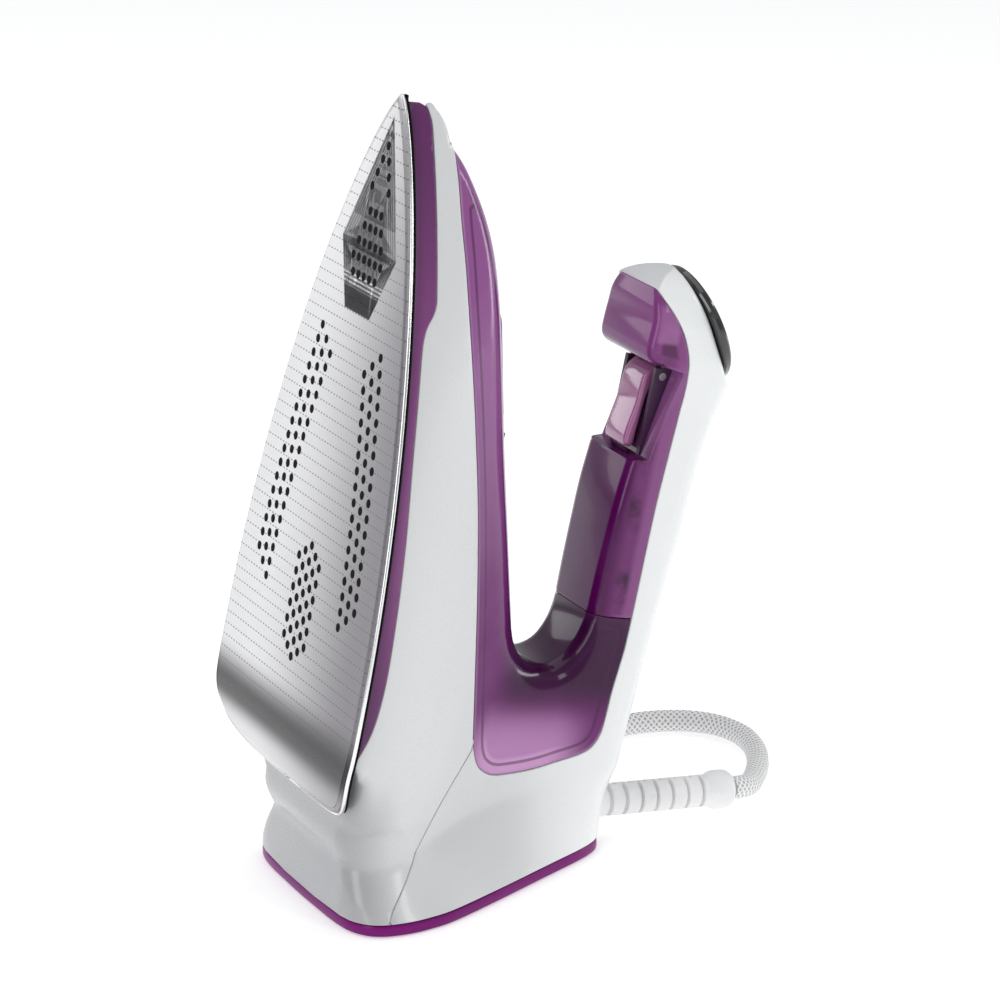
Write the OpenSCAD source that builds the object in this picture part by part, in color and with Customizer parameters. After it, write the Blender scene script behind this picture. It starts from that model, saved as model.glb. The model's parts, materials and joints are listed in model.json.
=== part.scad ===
// Steam iron, standing on its heel with the tip up.
// Frame: +Z up, +X from the soleplate side to the handle side, Y across the iron.
// The origin is the middle of the heel's resting face.
// Most pieces are drawn as the iron lies when it irons: x runs forward to the tip,
// y across and z up from the sole. stood_up() turns them onto the heel.

/* [Soleplate] */
// Tip of the sole, forward of the reference line
sole_tip = 133; // [115:1:165]
// Rear edge of the sole, behind the reference line
sole_rear = 122; // [100:1:150]
// Place of the widest line, behind the reference line
sole_wide_at = 80; // [60:1:95]
// Half of the sole's greatest width
sole_half = 60.5; // [50:0.5:74]
// Thickness of the steel plate
plate_t = 2.2; // [1.5:0.1:3]
// Line behind which the plate curves up
bend_at = 97; // [85:1:99]
// Radius of the curved rear
bend_r = 32; // [26:1:45]
// Diameter of a steam hole
steam_hole_d = 3.3; // [2.5:0.1:4]
// Distance of the outer hole column from the sole's edge
hole_inset = 17.5; // [14:0.5:20]
// Pitch of the holes in a side column
hole_pitch = 5.5; // [5:0.1:6.5]
// Holes in each side column
side_holes = 17; // [10:1:17]
// Thickness of the precision tip's inlay
inlay_t = 0.6; // [0.4:0.1:1]

/* [Heater] */
// Top of the cast heater block above the sole
block_top = 14; // [12:0.5:16]
// Distance of the block from the sole's edge
block_inset = 9; // [8:0.5:12]
// Diameter of the tubular heating element
element_d = 7; // [6:0.2:8]
// Half the distance between the element's legs
element_half = 18; // [16:0.5:20]
// Forward end of the element's straight legs
element_front = 56; // [40:1:58]
// Rear end of the element's legs
element_rear = 78; // [70:1:82]
// Thickness of the steam chamber's cover
chamber_cover_t = 1.6; // [1:0.1:2]
// Height of the heat shield above the sole
shield_h = 25; // [24:0.5:26]

/* [Casings] */
// Wall thickness of the moulded casings
wall = 2.4; // [2:0.1:3]
// Gap left between two casings that meet
seam_gap = 0.3; // [0.2:0.05:0.5]
// Distance of the casings from the sole's edge
casing_inset = 2; // [1.5:0.1:4]
// Height of the skirt along the rear part
skirt_low = 7.6; // [6.5:0.1:8.5]
// Height of the skirt towards the tip
skirt_high = 12.6; // [11:0.1:14]
// Width of the step between the two skirt heights
skirt_step = 8; // [6:0.5:12]
// Half width of the casings at the tank's top
tank_half = 25; // [22:0.5:30]
// Half width of the handle
handle_half = 18.5; // [16:0.5:22]
// Half width of the head
head_half = 21; // [19:0.5:24]
// Height of the handle's outer face above the sole
handle_top = 139; // [137:0.5:150]
// Height of the handle's underside above the sole
handle_under = 110; // [108:0.5:113]
// Height of the line where the white and the clear casings meet
handle_seam = 126; // [124:0.5:128]

/* [Heel] */
// Angle between the sole and the upright, when the iron stands
sole_lean = 12.4; // [8:0.1:16]
// Height of the sole's reference line above the table
stand_z = 164.6; // [160:0.1:190]
// Place of the sole's reference line from the middle of the heel
stand_x = -46.5; // [-60:0.5:-40]
// Length of the heel's resting face
foot_len = 119; // [100:1:130]
// Half width of the resting face at the soleplate side
foot_half = 51; // [42:0.5:62]
// Half width of the resting face at the handle side
foot_back_half = 12; // [10:0.5:15]
// Height of the coloured strip round the foot
trim_h = 4.2; // [3:0.1:6]

/* [Trigger and pump] */
// Half width of the trigger
trigger_half = 8; // [6:0.5:9]
// Diameter of the trigger's pin
trigger_pin_d = 3; // [2.5:0.1:3.5]
// Running clearance of a pin in its bore, on the radius
pin_clear = 0.05; // [0.03:0.01:0.08]
// Place of the trigger's pin along the handle
trigger_pin_at = 45; // [43:0.5:47]
// Diameter of the pump's plunger
plunger_d = 6; // [5:0.2:7]
// Place of the pump along the handle
pump_at = 22; // [20:0.5:24]

/* [Dial and flap] */
// Diameter of the dial on the head
dial_d = 46; // [40:0.5:50]
// Thickness of the dial
dial_t = 4; // [3:0.1:5]
// Tilt of the dial towards the tip
dial_tilt = 31; // [25:0.5:35]
// Diameter of the dial's shaft
dial_shaft_d = 8; // [7:0.2:9]
// Rear end of the filler flap
flap_rear = 17; // [14:0.5:20]
// Front end of the filler flap
flap_front = 65; // [60:0.5:68]
// Half width of the filler flap
flap_half = 11; // [10:0.5:15]
// Diameter of the flap's pin
flap_pin_d = 2.4; // [2:0.1:3]

/* [Cord] */
// Diameter of the braided cord
cord_d = 9; // [7:0.5:10]
// Diameter of the bushing at the heel
bushing_d = 12.4; // [11:0.2:14]
// Length of the bushing outside the heel
bushing_len = 60; // [40:1:60]
// Height of the bushing above the table
bushing_z = 16; // [14:0.5:20]

/* [Hidden] */
$fn = 48;

nose_power = 0.8;
tail_power = 3.5;
far = 400;
sliver = 0.01;
sole_len = sole_tip + sole_wide_at;

// ---- placing ----

module stood_up() {
    translate([stand_x, 0, stand_z]) rotate([180, sole_lean - 90, 0]) children();
}

// A side view drawn as [forward, up], made solid across the iron
module across(half) {
    rotate([90, 0, 0]) linear_extrude(height = 2 * half, center = true) children();
}

// A front view drawn as [sideways, up], made solid along the iron
module along(from, to) {
    translate([from, 0, 0]) rotate([90, 0, 90]) linear_extrude(height = to - from) children();
}

// A solid of a plan view between two heights
module between(low, high) {
    translate([0, 0, low]) linear_extrude(height = high - low) children();
}

// A rod between two points
module rod(from, to, d) {
    v = to - from;
    translate(from)
        rotate([0, acos(v[2] / norm(v)), atan2(v[1], v[0])])
            cylinder(h = norm(v), d = d);
}

// ---- plan of the sole ----

function front_half(t) = sole_half * pow(1 - pow(1 - (sole_tip - t) / sole_len, 2), nose_power);
function tail_half(t) =
    sole_half * pow(1 - pow((-sole_wide_at - t) / (sole_rear - sole_wide_at), tail_power),
                    1 / tail_power);
function sole_half_at(t) = t > -sole_wide_at ? front_half(t) : tail_half(t);

front_edge = [for (a = [0:5:90]) let (t = sole_tip - sole_len * (1 - cos(a))) [t, front_half(t)]];
tail_edge = [for (a = [10:10:90])
    let (t = -sole_wide_at - (sole_rear - sole_wide_at) * sin(a)) [t, a == 90 ? 0 : tail_half(t)]];

function mirrored(edge) = concat(edge, [for (i = [len(edge) - 1:-1:0]) [edge[i][0], -edge[i][1]]]);

module sole_plan(inset = 0) {
    offset(delta = -inset) polygon(mirrored(concat(front_edge, tail_edge)));
}

rear_half = sole_half - 11.5;

// The casings keep the sole's plan at the front and run straight back to the heel
module casing_plan(inset = 0) {
    offset(delta = -casing_inset - inset)
        polygon(mirrored(concat(front_edge, [[-96, sole_half], [-112, sole_half - 4.5],
                                             [-124, rear_half], [-sole_rear - far / 4, rear_half]])));
}

// ---- front view of the casings: wide at the sole, narrow at the handle ----

module casing_section(inset = 0) {
    edge = [[5, sole_half - casing_inset], [15, sole_half - 4.5], [28, sole_half - 11.5],
            [40, sole_half - 19.5], [55, tank_half + 6], [70, tank_half], [85, tank_half - 3.5],
            [100, handle_half + 1], [handle_under, handle_half], [handle_top - 14, handle_half],
            [handle_top - 6, handle_half - 2.5], [handle_top - 2, handle_half - 7],
            [handle_top, handle_half - 12]];
    offset(delta = -inset)
        polygon(concat([for (p = edge) [p[1], p[0]]],
                       [for (i = [len(edge) - 1:-1:0]) [-edge[i][1], edge[i][0]]]));
}

// The outside of body, heel and tank, less an inset
module casing_form(inset = 0) {
    intersection() {
        between(0, 200) casing_plan(inset);
        along(-190, sole_tip) casing_section(inset);
    }
}

// Front view of the handle or the head: flat below, round on the outer side
module grip_section(half, top, inset = 0) {
    edge = [[handle_under - 6, half - 4], [handle_under + 1, half - 4], [handle_under + 5, half - 1],
            [handle_under + 9, half], [top - 11, half], [top - 5, half - 3], [top - 1.5, half - 8],
            [top, half - 13]];
    offset(delta = -inset) polygon(concat([for (p = edge) [p[1], p[0]]],
        [for (i = [len(edge) - 1:-1:0]) [-edge[i][1], edge[i][0]]]));
}

head_from = 34;

// The outside of handle and head, less an inset
module handle_form(inset = 0) {
    head_to = 52;
    nose_from = 66;
    nose_tip = 84.5;
    intersection() {
        across(far) children();
        between(0, 200) offset(delta = -inset)
            polygon(mirrored(concat([[-200, handle_half], [head_from, handle_half], [head_to, head_half]],
                [for (a = [0:15:90]) [nose_from + (nose_tip - nose_from) * sin(a),
                                      max(head_half * cos(a), 0.01)]])));
        union() {
            along(-200, head_from) grip_section(handle_half, handle_top + 3, inset);
            along(head_from - sliver, 100) grip_section(head_half, handle_top + 10, inset);
        }
    }
}

// ---- side views, as [forward, up] ----

// Line where the white body meets the clear tank
tank_seam = [[116.5, 21], [108, 22.4], [95, 23.8], [82, 26], [62, 29.5], [41, 34], [16.5, 40],
             [-9, 46.5], [-39, 54], [-69, 61], [-91, 65.7]];
// Top line of the tank, below the hand
tank_ridge = [[117.5, 23], [107.5, 30.3], [96, 36.9], [84, 42], [70.5, 46], [56.5, 49.5],
              [31.5, 55.5], [10, 61], [-27, 71.8], [-56, 80.5]];
// Line where the tank meets the heel, up to the handle
tank_back = [[-98.5, 67.8], [-103.8, 71.5], [-107, 78], [-105, 95], [-99, 114], [-95.5, 119.5],
             [-89, 123], [-78, 124.5]];
// Bottom of the hand opening
opening_end = [[-61, 83], [-65, 88], [-66.5, 94], [-65.3, 100], [-61.5, 104.8], [-56, 107.8],
               [-50, 109.3]];
// Where the clear casing of the handle ends and the tank begins
under_end = -46;
head_seam = [[20, handle_seam + 0.8], [36, handle_seam + 1], [46, handle_seam + 0.4],
             [54, handle_seam - 1], [64, handle_seam - 5.6], [72, handle_seam - 11.5],
             [77.5, handle_seam - 15]];
head_front = [[78.3, handle_under - 0.5], [74, handle_under - 2.5], [66, handle_under - 4.5],
              [55.5, handle_under - 5], [52, handle_under - 2], [49.5, handle_under + 3]];

function ridge_at(t) = lookup(t, [for (p = tank_ridge) [p[0], p[1]]]);
function reversed(list) = [for (i = [len(list) - 1:-1:0]) list[i]];

module tank_side() {
    polygon(concat(tank_seam, tank_back,
                   [[-60, handle_seam - 0.3], [under_end, handle_seam], [under_end, handle_under - 0.3]],
                   reversed(opening_end), reversed(tank_ridge)));
}

// The side view's part below the tank's crown, lowered there by a drop
module below_crown(drop) {
    translate([0, -drop]) polygon(concat([[200, -100], [200, tank_ridge[0][1]]], tank_ridge,
                                         [[-61, 83], [-61, 300], [-400, 300], [-400, -100]]));
}

// The tank's crown is rounded in four layers: distance in from the side, drop below the ridge
crown_layers = [[0, 12], [1.6, 6.4], [4.2, 3.2], [8.5, 0]];

module tank_solid(inset = 0) {
    for (layer = crown_layers) intersection() {
        casing_form(inset + layer[0]);
        across(far) intersection() {
            offset(delta = -inset) tank_side();
            below_crown(layer[1]);
        }
    }
}

module under_side() {
    polygon(concat([[under_end + seam_gap, handle_under], [under_end + seam_gap, handle_seam]],
                   head_seam, head_front, [[46, handle_under + 2], [14, handle_under + 2],
                                           [10, handle_under]]));
}

skirt_end = 96;
skirt_from = 55;
skirt_top = [[-skirt_end, skirt_low - 2.5], [-85, skirt_low + 0.6], [-60, skirt_low + 1.6],
             [-10, skirt_low + 0.8], [skirt_from, skirt_low],
             [skirt_from + skirt_step, skirt_high], [sole_tip, skirt_high]];
skirt_bottom = plate_t + 1.4;
nose_top = [[sole_tip - 1.2, 13.6], [128, 16.6], [122.5, 19.8]];
seam_low = [-152, 35];
seam_high = [-97, 66.6];

function dial_face_at(t) = dial_centre[1] - (t - dial_centre[0]) * tan(dial_tilt);

seam_rise = (seam_high[1] - seam_low[1]) / (seam_high[0] - seam_low[0]);

module body_side() {
    polygon(concat([for (p = skirt_top) p + [0, seam_gap]], nose_top,
                   [for (p = tank_seam) p - [0, seam_gap]], [seam_high - [0, seam_gap], seam_low],
                   [[-163, 25], [-163, 16], [-150, 15.5], [-128, 15.5], [-112, 13.5], [-104, 10]]));
}

module heel_side() {
    polygon(concat([seam_low + [0, seam_gap], seam_high - [seam_gap, 0]],
                   [for (p = tank_back) p - [seam_gap, 0]],
                   [[-80, handle_seam - 0.6], [-80, handle_top - 1], [-108, handle_top - 2],
                    [-138.5, handle_top], [-185, handle_top + 10], [-185, 28], [-160, 25]]));
}

module handle_side() {
    polygon(concat([[-80 + seam_gap, handle_seam - 0.6], [under_end, handle_seam + seam_gap]],
                   [for (p = head_seam) p + [0, seam_gap]],
                   [[84, handle_seam - 6], [84, dial_face_at(84)], [43, dial_face_at(43)],
                    [39, handle_top + 5.5], [30, handle_top + 4], [17, handle_top + 2.5],
                    [-13, handle_top + 1.5], [-40, handle_top], [-80 + seam_gap, handle_top - 1]]));
}

// ---- sole group ----

module hole_at(t, y) {
    translate([t, y]) circle(d = steam_hole_d, $fn = 24);
}

module side_hole_columns() {
    column_gap = 5.1;
    column_lag = 4.2;
    for (side = [-1, 1], c = [0:2], k = [0:side_holes - 1]) {
        t = 44 - hole_pitch * k;
        hole_at(t - column_lag * c, side * (sole_half_at(t) - hole_inset - 0.02 * t - column_gap * c));
    }
}

module centre_holes() {
    for (c = [-2:2], k = [0:7 - abs(c)])
        hole_at(-31.7 - 2.97 * abs(c) - 5.94 * k, 4.4 * c);
}

module tip_holes() {
    row_pitch = 5.75;
    hole_gap = 4.6;
    hole_at(114.8, 0);
    for (side = [-1, 1], k = [1:3]) hole_at(114.8 - 5.2 * k, side * (0.3 + 2.2 * k));
    for (row = [0:4]) {
        holes = row == 4 ? 5 : row + 3;
        for (k = [0:holes - 1])
            hole_at(90.4 - row_pitch * row, hole_gap * (k - (holes - 1) / 2));
    }
}

module inlay_plan(gap = 0) {
    offset(delta = -gap) polygon([[126, 0], [78, 23], [54, 10.5], [54, -10.5], [78, -23]]);
}

module soleplate() {
    bend_angle = asin((sole_rear - bend_at) / bend_r);
    color([0.72, 0.72, 0.74]) stood_up() difference() {
        intersection() {
            union() {
                translate([-bend_at, -far / 2, 0]) cube([sole_tip + bend_at, far, plate_t]);
                translate([-bend_at, 0, bend_r]) rotate([90, 0, 0]) rotate([0, 0, -92 - bend_angle])
                    rotate_extrude(angle = bend_angle + 2, $fn = 96)
                        translate([bend_r - plate_t, -far / 2]) square([plate_t, far]);
            }
            between(-1, bend_r) sole_plan();
        }
        between(-1, inlay_t) inlay_plan();
        between(-2, plate_t + 1) {
            side_hole_columns();
            centre_holes();
            tip_holes();
        }
    }
}

module tip_inlay() {
    color([0.35, 0.35, 0.38]) stood_up() difference() {
        between(0, inlay_t - sliver) inlay_plan(0.1);
        between(-1, inlay_t + 1) tip_holes();
    }
}

chamber_front = 50;
chamber_rear = 62;
chamber_half = 11;
chamber_floor = 8;
cover_lap = 1.5;
groove_clear = 0.1;

module element_path(d) {
    for (side = [-1, 1])
        translate([-element_rear, side * element_half, block_top]) rotate([0, 90, 0])
            cylinder(h = element_rear + element_front, d = d);
    translate([element_front, 0, block_top]) rotate([0, 0, -90])
        rotate_extrude(angle = 180) translate([element_half, 0]) circle(d = d);
}

module chamber_plan(grow = 0) {
    translate([-chamber_rear - grow, -chamber_half - grow])
        square([chamber_front + chamber_rear + 2 * grow, 2 * (chamber_half + grow)]);
}

module block_plan() {
    intersection() {
        sole_plan(block_inset);
        translate([-bend_at + 10, -far / 2]) square(far);
    }
}

block_screw_places = [[88, 0], [-70, 40], [-70, -40]];

module heater_block() {
    gallery_h = 3;
    color([0.6, 0.61, 0.62]) stood_up() difference() {
        between(plate_t, block_top) block_plan();
        between(chamber_floor, block_top + 1) chamber_plan();
        element_path(element_d + 2 * groove_clear);
        // steam galleries over the hole columns, fed from the chamber
        between(plate_t - 1, plate_t + gallery_h) {
            for (side = [-1, 1])
                polygon([[48, side * 10], [48, side * 26], [0, side * 36], [-54, side * 42],
                         [-54, side * 16], [0, side * 14]]);
            translate([-78, -chamber_half]) square([50, 2 * chamber_half]);
        }
        for (t = [-50, 42], side = [-1, 1])
            translate([t, 0, plate_t + gallery_h / 2]) rotate([90, 0, 0])
                cylinder(h = 56, d = 2.4, center = true);
        for (t = [-40, 0, 40]) translate([t, 0, plate_t - 1]) cylinder(h = 10, d = 5);
        for (p = block_screw_places) translate([p[0], p[1], block_top - 7]) cylinder(h = 8, d = 3.4);
    }
}

module heating_element() {
    terminal_h = 9;
    color([0.45, 0.42, 0.4]) stood_up() {
        element_path(element_d);
        for (side = [-1, 1])
            translate([-element_rear + element_d / 2, side * element_half, block_top])
                cylinder(h = element_d / 2 + terminal_h, d = 2.5);
    }
}

module chamber_cover() {
    color([0.78, 0.78, 0.8]) stood_up() difference() {
        between(block_top, block_top + chamber_cover_t) chamber_plan(cover_lap);
        translate([valve_at, 0, block_top - 1]) cylinder(h = 5, d = valve_d + 0.2);
    }
}

thermostat_at = [-79, 0];
module thermostat() {
    color([0.85, 0.82, 0.72]) stood_up() translate([thermostat_at[0], thermostat_at[1], block_top]) {
        cylinder(h = 4, d = 24);
        translate([0, 0, 4]) cylinder(h = 5.5, d = 17);
        for (side = [-1, 1]) translate([-3, side * 5.5 - 1, 9]) cube([6, 2, 7]);
    }
}

module thermal_fuse() {
    color([0.9, 0.9, 0.92]) stood_up() translate([20, 30, block_top]) {
        translate([-4, -4, 0]) cube([8, 8, 3]);
        translate([-11, 0, 4.4]) rotate([0, 90, 0]) cylinder(h = 22, d = 5);
    }
}

module heat_shield() {
    color([0.7, 0.7, 0.68]) stood_up() difference() {
        intersection() {
            between(shield_h, shield_h + 0.8) translate([-88, -far / 2]) square([88 + 68, far]);
            casing_form(wall + 0.5);
        }
        translate([valve_at, 0, shield_h - 1]) cylinder(h = 3, d = valve_d + 1);
        for (side = [-1, 1]) translate([-82.5, side * 5.5 - 2, shield_h - 1]) cube([7.5, 4, 4]);
        translate([-30, 24, shield_h - 1]) cylinder(h = 3, d = 7);
    }
}

gasket_outer = 4.6;
module sole_gasket() {
    color([0.06, 0.06, 0.07]) stood_up() between(plate_t, skirt_bottom + 2) intersection() {
        difference() {
            sole_plan(gasket_outer);
            sole_plan(gasket_outer + 3);
        }
        translate([-bend_at + 3, -far / 2]) square(far);
    }
}

module skirt() {
    color([0.5, 0.28, 0.52]) stood_up() intersection() {
        across(far) polygon(concat([[-skirt_end, skirt_bottom]], skirt_top, [[sole_tip, skirt_bottom]]));
        between(0, 20) difference() {
            sole_plan(casing_inset);
            sole_plan(casing_inset + wall);
        }
    }
}

// ---- casings ----

module body_shell() {
    color([0.88, 0.9, 0.9]) difference() {
        union() {
            intersection() {
                stood_up() intersection() {
                    casing_form();
                    across(far) body_side();
                }
                above_flare();
            }
            intersection() {
                foot_flare();
                stood_up() across(far) seam_side();
            }
        }
        intersection() {
            stood_up() intersection() {
                casing_form(wall);
                across(far) union() {
                    offset(delta = -wall) body_side();
                    translate([-92, 0]) square([92 + 122, shield_h - 6]);
                    polygon([seam_high + [5, -7], seam_low + [5, -9], seam_low + [-30, 26],
                             seam_high + [-30, 26]]);
                }
            }
            translate([0, 0, -1]) above_flare();
        }
        foot_flare(wall);
        translate([0, 0, -sliver]) linear_extrude(height = trim_h + 2) foot_plan(wall);
        stood_up() {
            translate([valve_at, 0, 20]) cylinder(h = 30, d = valve_d + 0.4);
            translate([-30, 24, 30]) cylinder(h = 30, d = 7);
        }
    }
}

// Plan of the resting face, in the standing frame
module foot_plan(inset = 0) {
    corner_r = 14;
    tail_r = 7;
    front = -foot_len / 2;
    offset(delta = -inset) intersection() {
        offset(r = corner_r) offset(delta = -corner_r)
            polygon(mirrored([[front - 0.8, 0], [front, foot_half * 0.4], [front + 2.7, foot_half * 0.72],
                              [front + 7, foot_half * 0.87], [front + 13, foot_half * 0.96],
                              [front + 20, foot_half], [front + 28, foot_half], [front + 39, foot_half * 0.945],
                              [front + 62, foot_half * 0.74], [front + 89, foot_half * 0.48],
                              [front + 106, foot_half * 0.32], [foot_len, 5]]));
        offset(r = tail_r) offset(delta = -tail_r)
            translate([-foot_len, -far / 2]) square([1.5 * foot_len, far]);
    }
}

module above_trim() {
    translate([-far / 2, -far / 2, trim_h + seam_gap]) cube([far, far, far]);
}

// The foot widens down from the casings to the resting face
flare_h = 24;
flare_lap = 1.2;
flare_ledge = 0.5;

function flare_x(h) = (h + (flare_h - stand_z) * sin(sole_lean)) / cos(sole_lean) + stand_x;

module flare_top() {
    edge = [[15.5, rear_half - 5], [18, rear_half - 1.5], [22, rear_half], [28, rear_half],
            [70, tank_half], [handle_top - 14, handle_half], [handle_top, handle_half - 12]];
    polygon(mirrored([for (p = edge) [flare_x(p[0]), p[1]]]));
}

module foot_flare(inset = 0) {
    hull() {
        translate([0, 0, trim_h + seam_gap]) linear_extrude(height = sliver) foot_plan(inset);
        translate([0, 0, flare_h]) linear_extrude(height = flare_lap)
            offset(delta = -inset - flare_ledge) flare_top();
    }
}

module above_flare() {
    translate([-far / 2, -far / 2, flare_h]) cube([far, far, far]);
}

// Everything on the soleplate's side of the seam between body and heel
module seam_side() {
    polygon([seam_low + [-100, -100 * seam_rise], seam_low, seam_high, seam_high + [200, 0],
             [200, -200], [-300, -200]]);
}

module heel_shell() {
    color([0.9, 0.92, 0.92]) difference() {
        union() {
            intersection() {
                stood_up() intersection() {
                    casing_form();
                    across(far) heel_side();
                }
                above_flare();
            }
            difference() {
                foot_flare();
                stood_up() across(far) offset(delta = seam_gap) seam_side();
            }
        }
        intersection() {
            stood_up() intersection() {
                casing_form(wall);
                across(far) union() {
                    offset(delta = -wall) heel_side();
                    polygon([seam_low, seam_high, seam_high + [-30, 26], seam_low + [-30, 26]]);
                }
            }
            translate([0, 0, -1]) above_flare();
        }
        foot_flare(wall);
        translate([0, 0, -sliver]) linear_extrude(height = trim_h + 2) foot_plan(wall);
        bushing_place() translate([0, 0, -30]) cylinder(h = far, d = bushing_d + 0.4);
    }
}

module foot_trim() {
    color([0.41, 0.1, 0.41]) linear_extrude(height = trim_h) foot_plan();
}

mouth_at = 52;
mouth_d = 17;
module water_tank() {
    color([0.56, 0.27, 0.56, 0.7]) stood_up() difference() {
        tank_solid();
        tank_solid(wall);
        translate([mouth_at, 0, ridge_at(mouth_at) - 12]) cylinder(h = 30, d = mouth_d);
        translate([valve_at, 0, 20]) cylinder(h = 16, d = 6);
    }
}

module mouth_seal() {
    seal_t = 1.6;
    color([0.25, 0.25, 0.28]) stood_up()
        translate([mouth_at, 0, ridge_at(mouth_at) - 6.5]) difference() {
            cylinder(h = seal_t + 3, d = mouth_d - 0.1);
            translate([0, 0, -1]) cylinder(h = 10, d = mouth_d - 4);
        }
}

flap_t = 1.8;
flap_lift = 0.4;
flap_pin_place = [flap_rear, ridge_at(flap_rear) + flap_lift + 2];
module filler_flap() {
    strip = [for (t = [flap_front, 58, 50, 42, 34, 26, flap_rear + 3]) [t, ridge_at(t) + flap_lift]];
    color([0.66, 0.4, 0.66, 0.75]) stood_up() difference() {
        union() {
            across(flap_half) polygon(concat(strip, [for (i = [len(strip) - 1:-1:0])
                                                     strip[i] + [0, flap_t]]));
            across(flap_half - 4) translate(flap_pin_place) circle(d = flap_pin_d + 1.6);
            across(flap_half - 4) polygon([flap_pin_place + [0, -1.6], flap_pin_place + [0, 1.6],
                                           [flap_rear + 4, ridge_at(flap_rear + 4) + flap_lift + flap_t],
                                           [flap_rear + 4, ridge_at(flap_rear + 4) + flap_lift]]);
        }
        across(far / 2) translate(flap_pin_place) circle(d = flap_pin_d + 2 * pin_clear);
    }
}

// Pin with its two lugs, which stand on the tank
module flap_pin() {
    color([0.5, 0.25, 0.5]) stood_up() {
        across(flap_half - 1) translate(flap_pin_place) circle(d = flap_pin_d);
        for (side = [-1, 1])
            translate([0, side * (flap_half - 2.2), 0]) across(1.2)
                polygon([flap_pin_place + [-2.5, -flap_lift - 2.3 + 0.6], flap_pin_place + [-1.2, 1.2],
                         flap_pin_place + [1.2, 1.2], flap_pin_place + [2, -flap_lift - 2.3 - 0.4]]);
    }
}

valve_at = 40;
valve_d = 8;
module drip_valve() {
    color([0.85, 0.85, 0.8]) stood_up() difference() {
        translate([valve_at, 0, block_top + 0.1]) {
            cylinder(h = 15, d = valve_d);
            cylinder(h = 19, d = 5.6);
        }
        translate([valve_at, 0, block_top]) cylinder(h = 40, d = 2);
    }
}

// ---- handle ----

module handle_shell() {
    color([0.9, 0.92, 0.92]) stood_up() difference() {
        handle_form() handle_side();
        handle_form(wall) union() {
            offset(delta = -wall) handle_side();
            translate([-76, handle_seam - 4]) square([112, 9]);
            polygon([[34, handle_seam - 2], [50, handle_seam - 4], [62, handle_seam - 8],
                     [62, handle_seam + 8], [34, handle_seam + 8]]);
        }
        dial_place() translate([0, 0, -14]) cylinder(h = 30, d = dial_bush_d + 0.2);
    }
}

module handle_underside() {
    color([0.56, 0.27, 0.56, 0.7]) stood_up() difference() {
        handle_form() under_side();
        handle_form(wall) union() {
            offset(delta = -wall) under_side();
            translate([under_end + 4, handle_seam - 8]) square([78, 12]);
            polygon([[30, handle_seam - 6], [50, handle_seam - 7], [60, handle_seam - 11],
                     [70, handle_seam - 14], [70, handle_seam - 2], [56, handle_seam + 3],
                     [30, handle_seam + 4]]);
        }
        // the hoses' way in
        translate([under_end - 1, -9, handle_seam - 7]) cube([6, 18, 6]);
        // the trigger's opening
        translate([15, -trigger_half - 0.8, handle_under - 4]) cube([35, 2 * trigger_half + 1.6, 10]);
        across(12) translate([trigger_pin_at, trigger_pin_h]) circle(d = trigger_pin_d + 0.1);
    }
}

tray_half = 12;
tray_floor = 132.5;
module pump_tray() {
    trigger_gap = 1.2;
    color([0.3, 0.14, 0.32]) stood_up() difference() {
        translate([-40, -tray_half, handle_under + wall + 2.6])
            cube([90, 2 * tray_half, tray_floor + 2.5 - handle_under - wall - 2.6]);
        translate([-41, -tray_half + 2, handle_under - 1])
            cube([98, 2 * tray_half - 4, tray_floor - handle_under + 1]);
        translate([14, -tray_half - 1, handle_under - 1])
            cube([36, tray_half - trigger_half - trigger_gap + 1, 9]);
        translate([14, trigger_half + trigger_gap, handle_under - 1])
            cube([36, tray_half - trigger_half - trigger_gap + 1, 9]);
        across(far / 8) translate([trigger_pin_at, trigger_pin_h])
            circle(d = trigger_pin_d + 2 * pin_clear);
        translate([48, -tray_half - 1, handle_under - 1]) cube([20, 2 * tray_half + 2, 12]);
    }
}

pump_low = 122;
plunger_seat = 118.5;
module pump_body() {
    color([0.82, 0.8, 0.86]) stood_up() difference() {
        union() {
            translate([pump_at, 0, pump_low]) cylinder(h = tray_floor - pump_low, d = 14);
            translate([pump_at - 13, 0, 128]) rotate([0, 90, 0]) cylinder(h = 10, d = 5);
        }
        translate([pump_at, 0, pump_low - 1]) cylinder(h = 9.5, d = plunger_d + 2 * pin_clear);
        translate([pump_at - 14, 0, 128]) rotate([0, 90, 0]) cylinder(h = 9, d = 2.6);
    }
}

plunger_travel = 2.6;
module pump_plunger() {
    color([0.95, 0.95, 0.95]) stood_up()
        translate([pump_at, 0, plunger_seat]) {
            cylinder(h = pump_low + 5.2 - plunger_seat, d = plunger_d);
            cylinder(h = 0.8, d = plunger_d + 2);
        }
}

hose_d = 4;
module water_hose() {
    color([0.75, 0.72, 0.78]) stood_up()
        swept_tube(smooth_route([[-84, -5, 100], [-76, -5, 112], [-62, -5, 118], [-44, -5, 122],
                                 [-24, -3, 126], [-4, -1, 128], [pump_at - 13, 0, 128]], 2), hose_d, 8);
}

module steam_hose() {
    color([0.7, 0.68, 0.7]) stood_up()
        swept_tube(smooth_route([[-84, 5, 100], [-76, 5, 112], [-62, 5, 118], [-44, 5, 122],
                                 [-24, 5.5, 126], [-4, 5.5, 128], [12, 5.5, 128]], 2), hose_d, 8);
}

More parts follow.
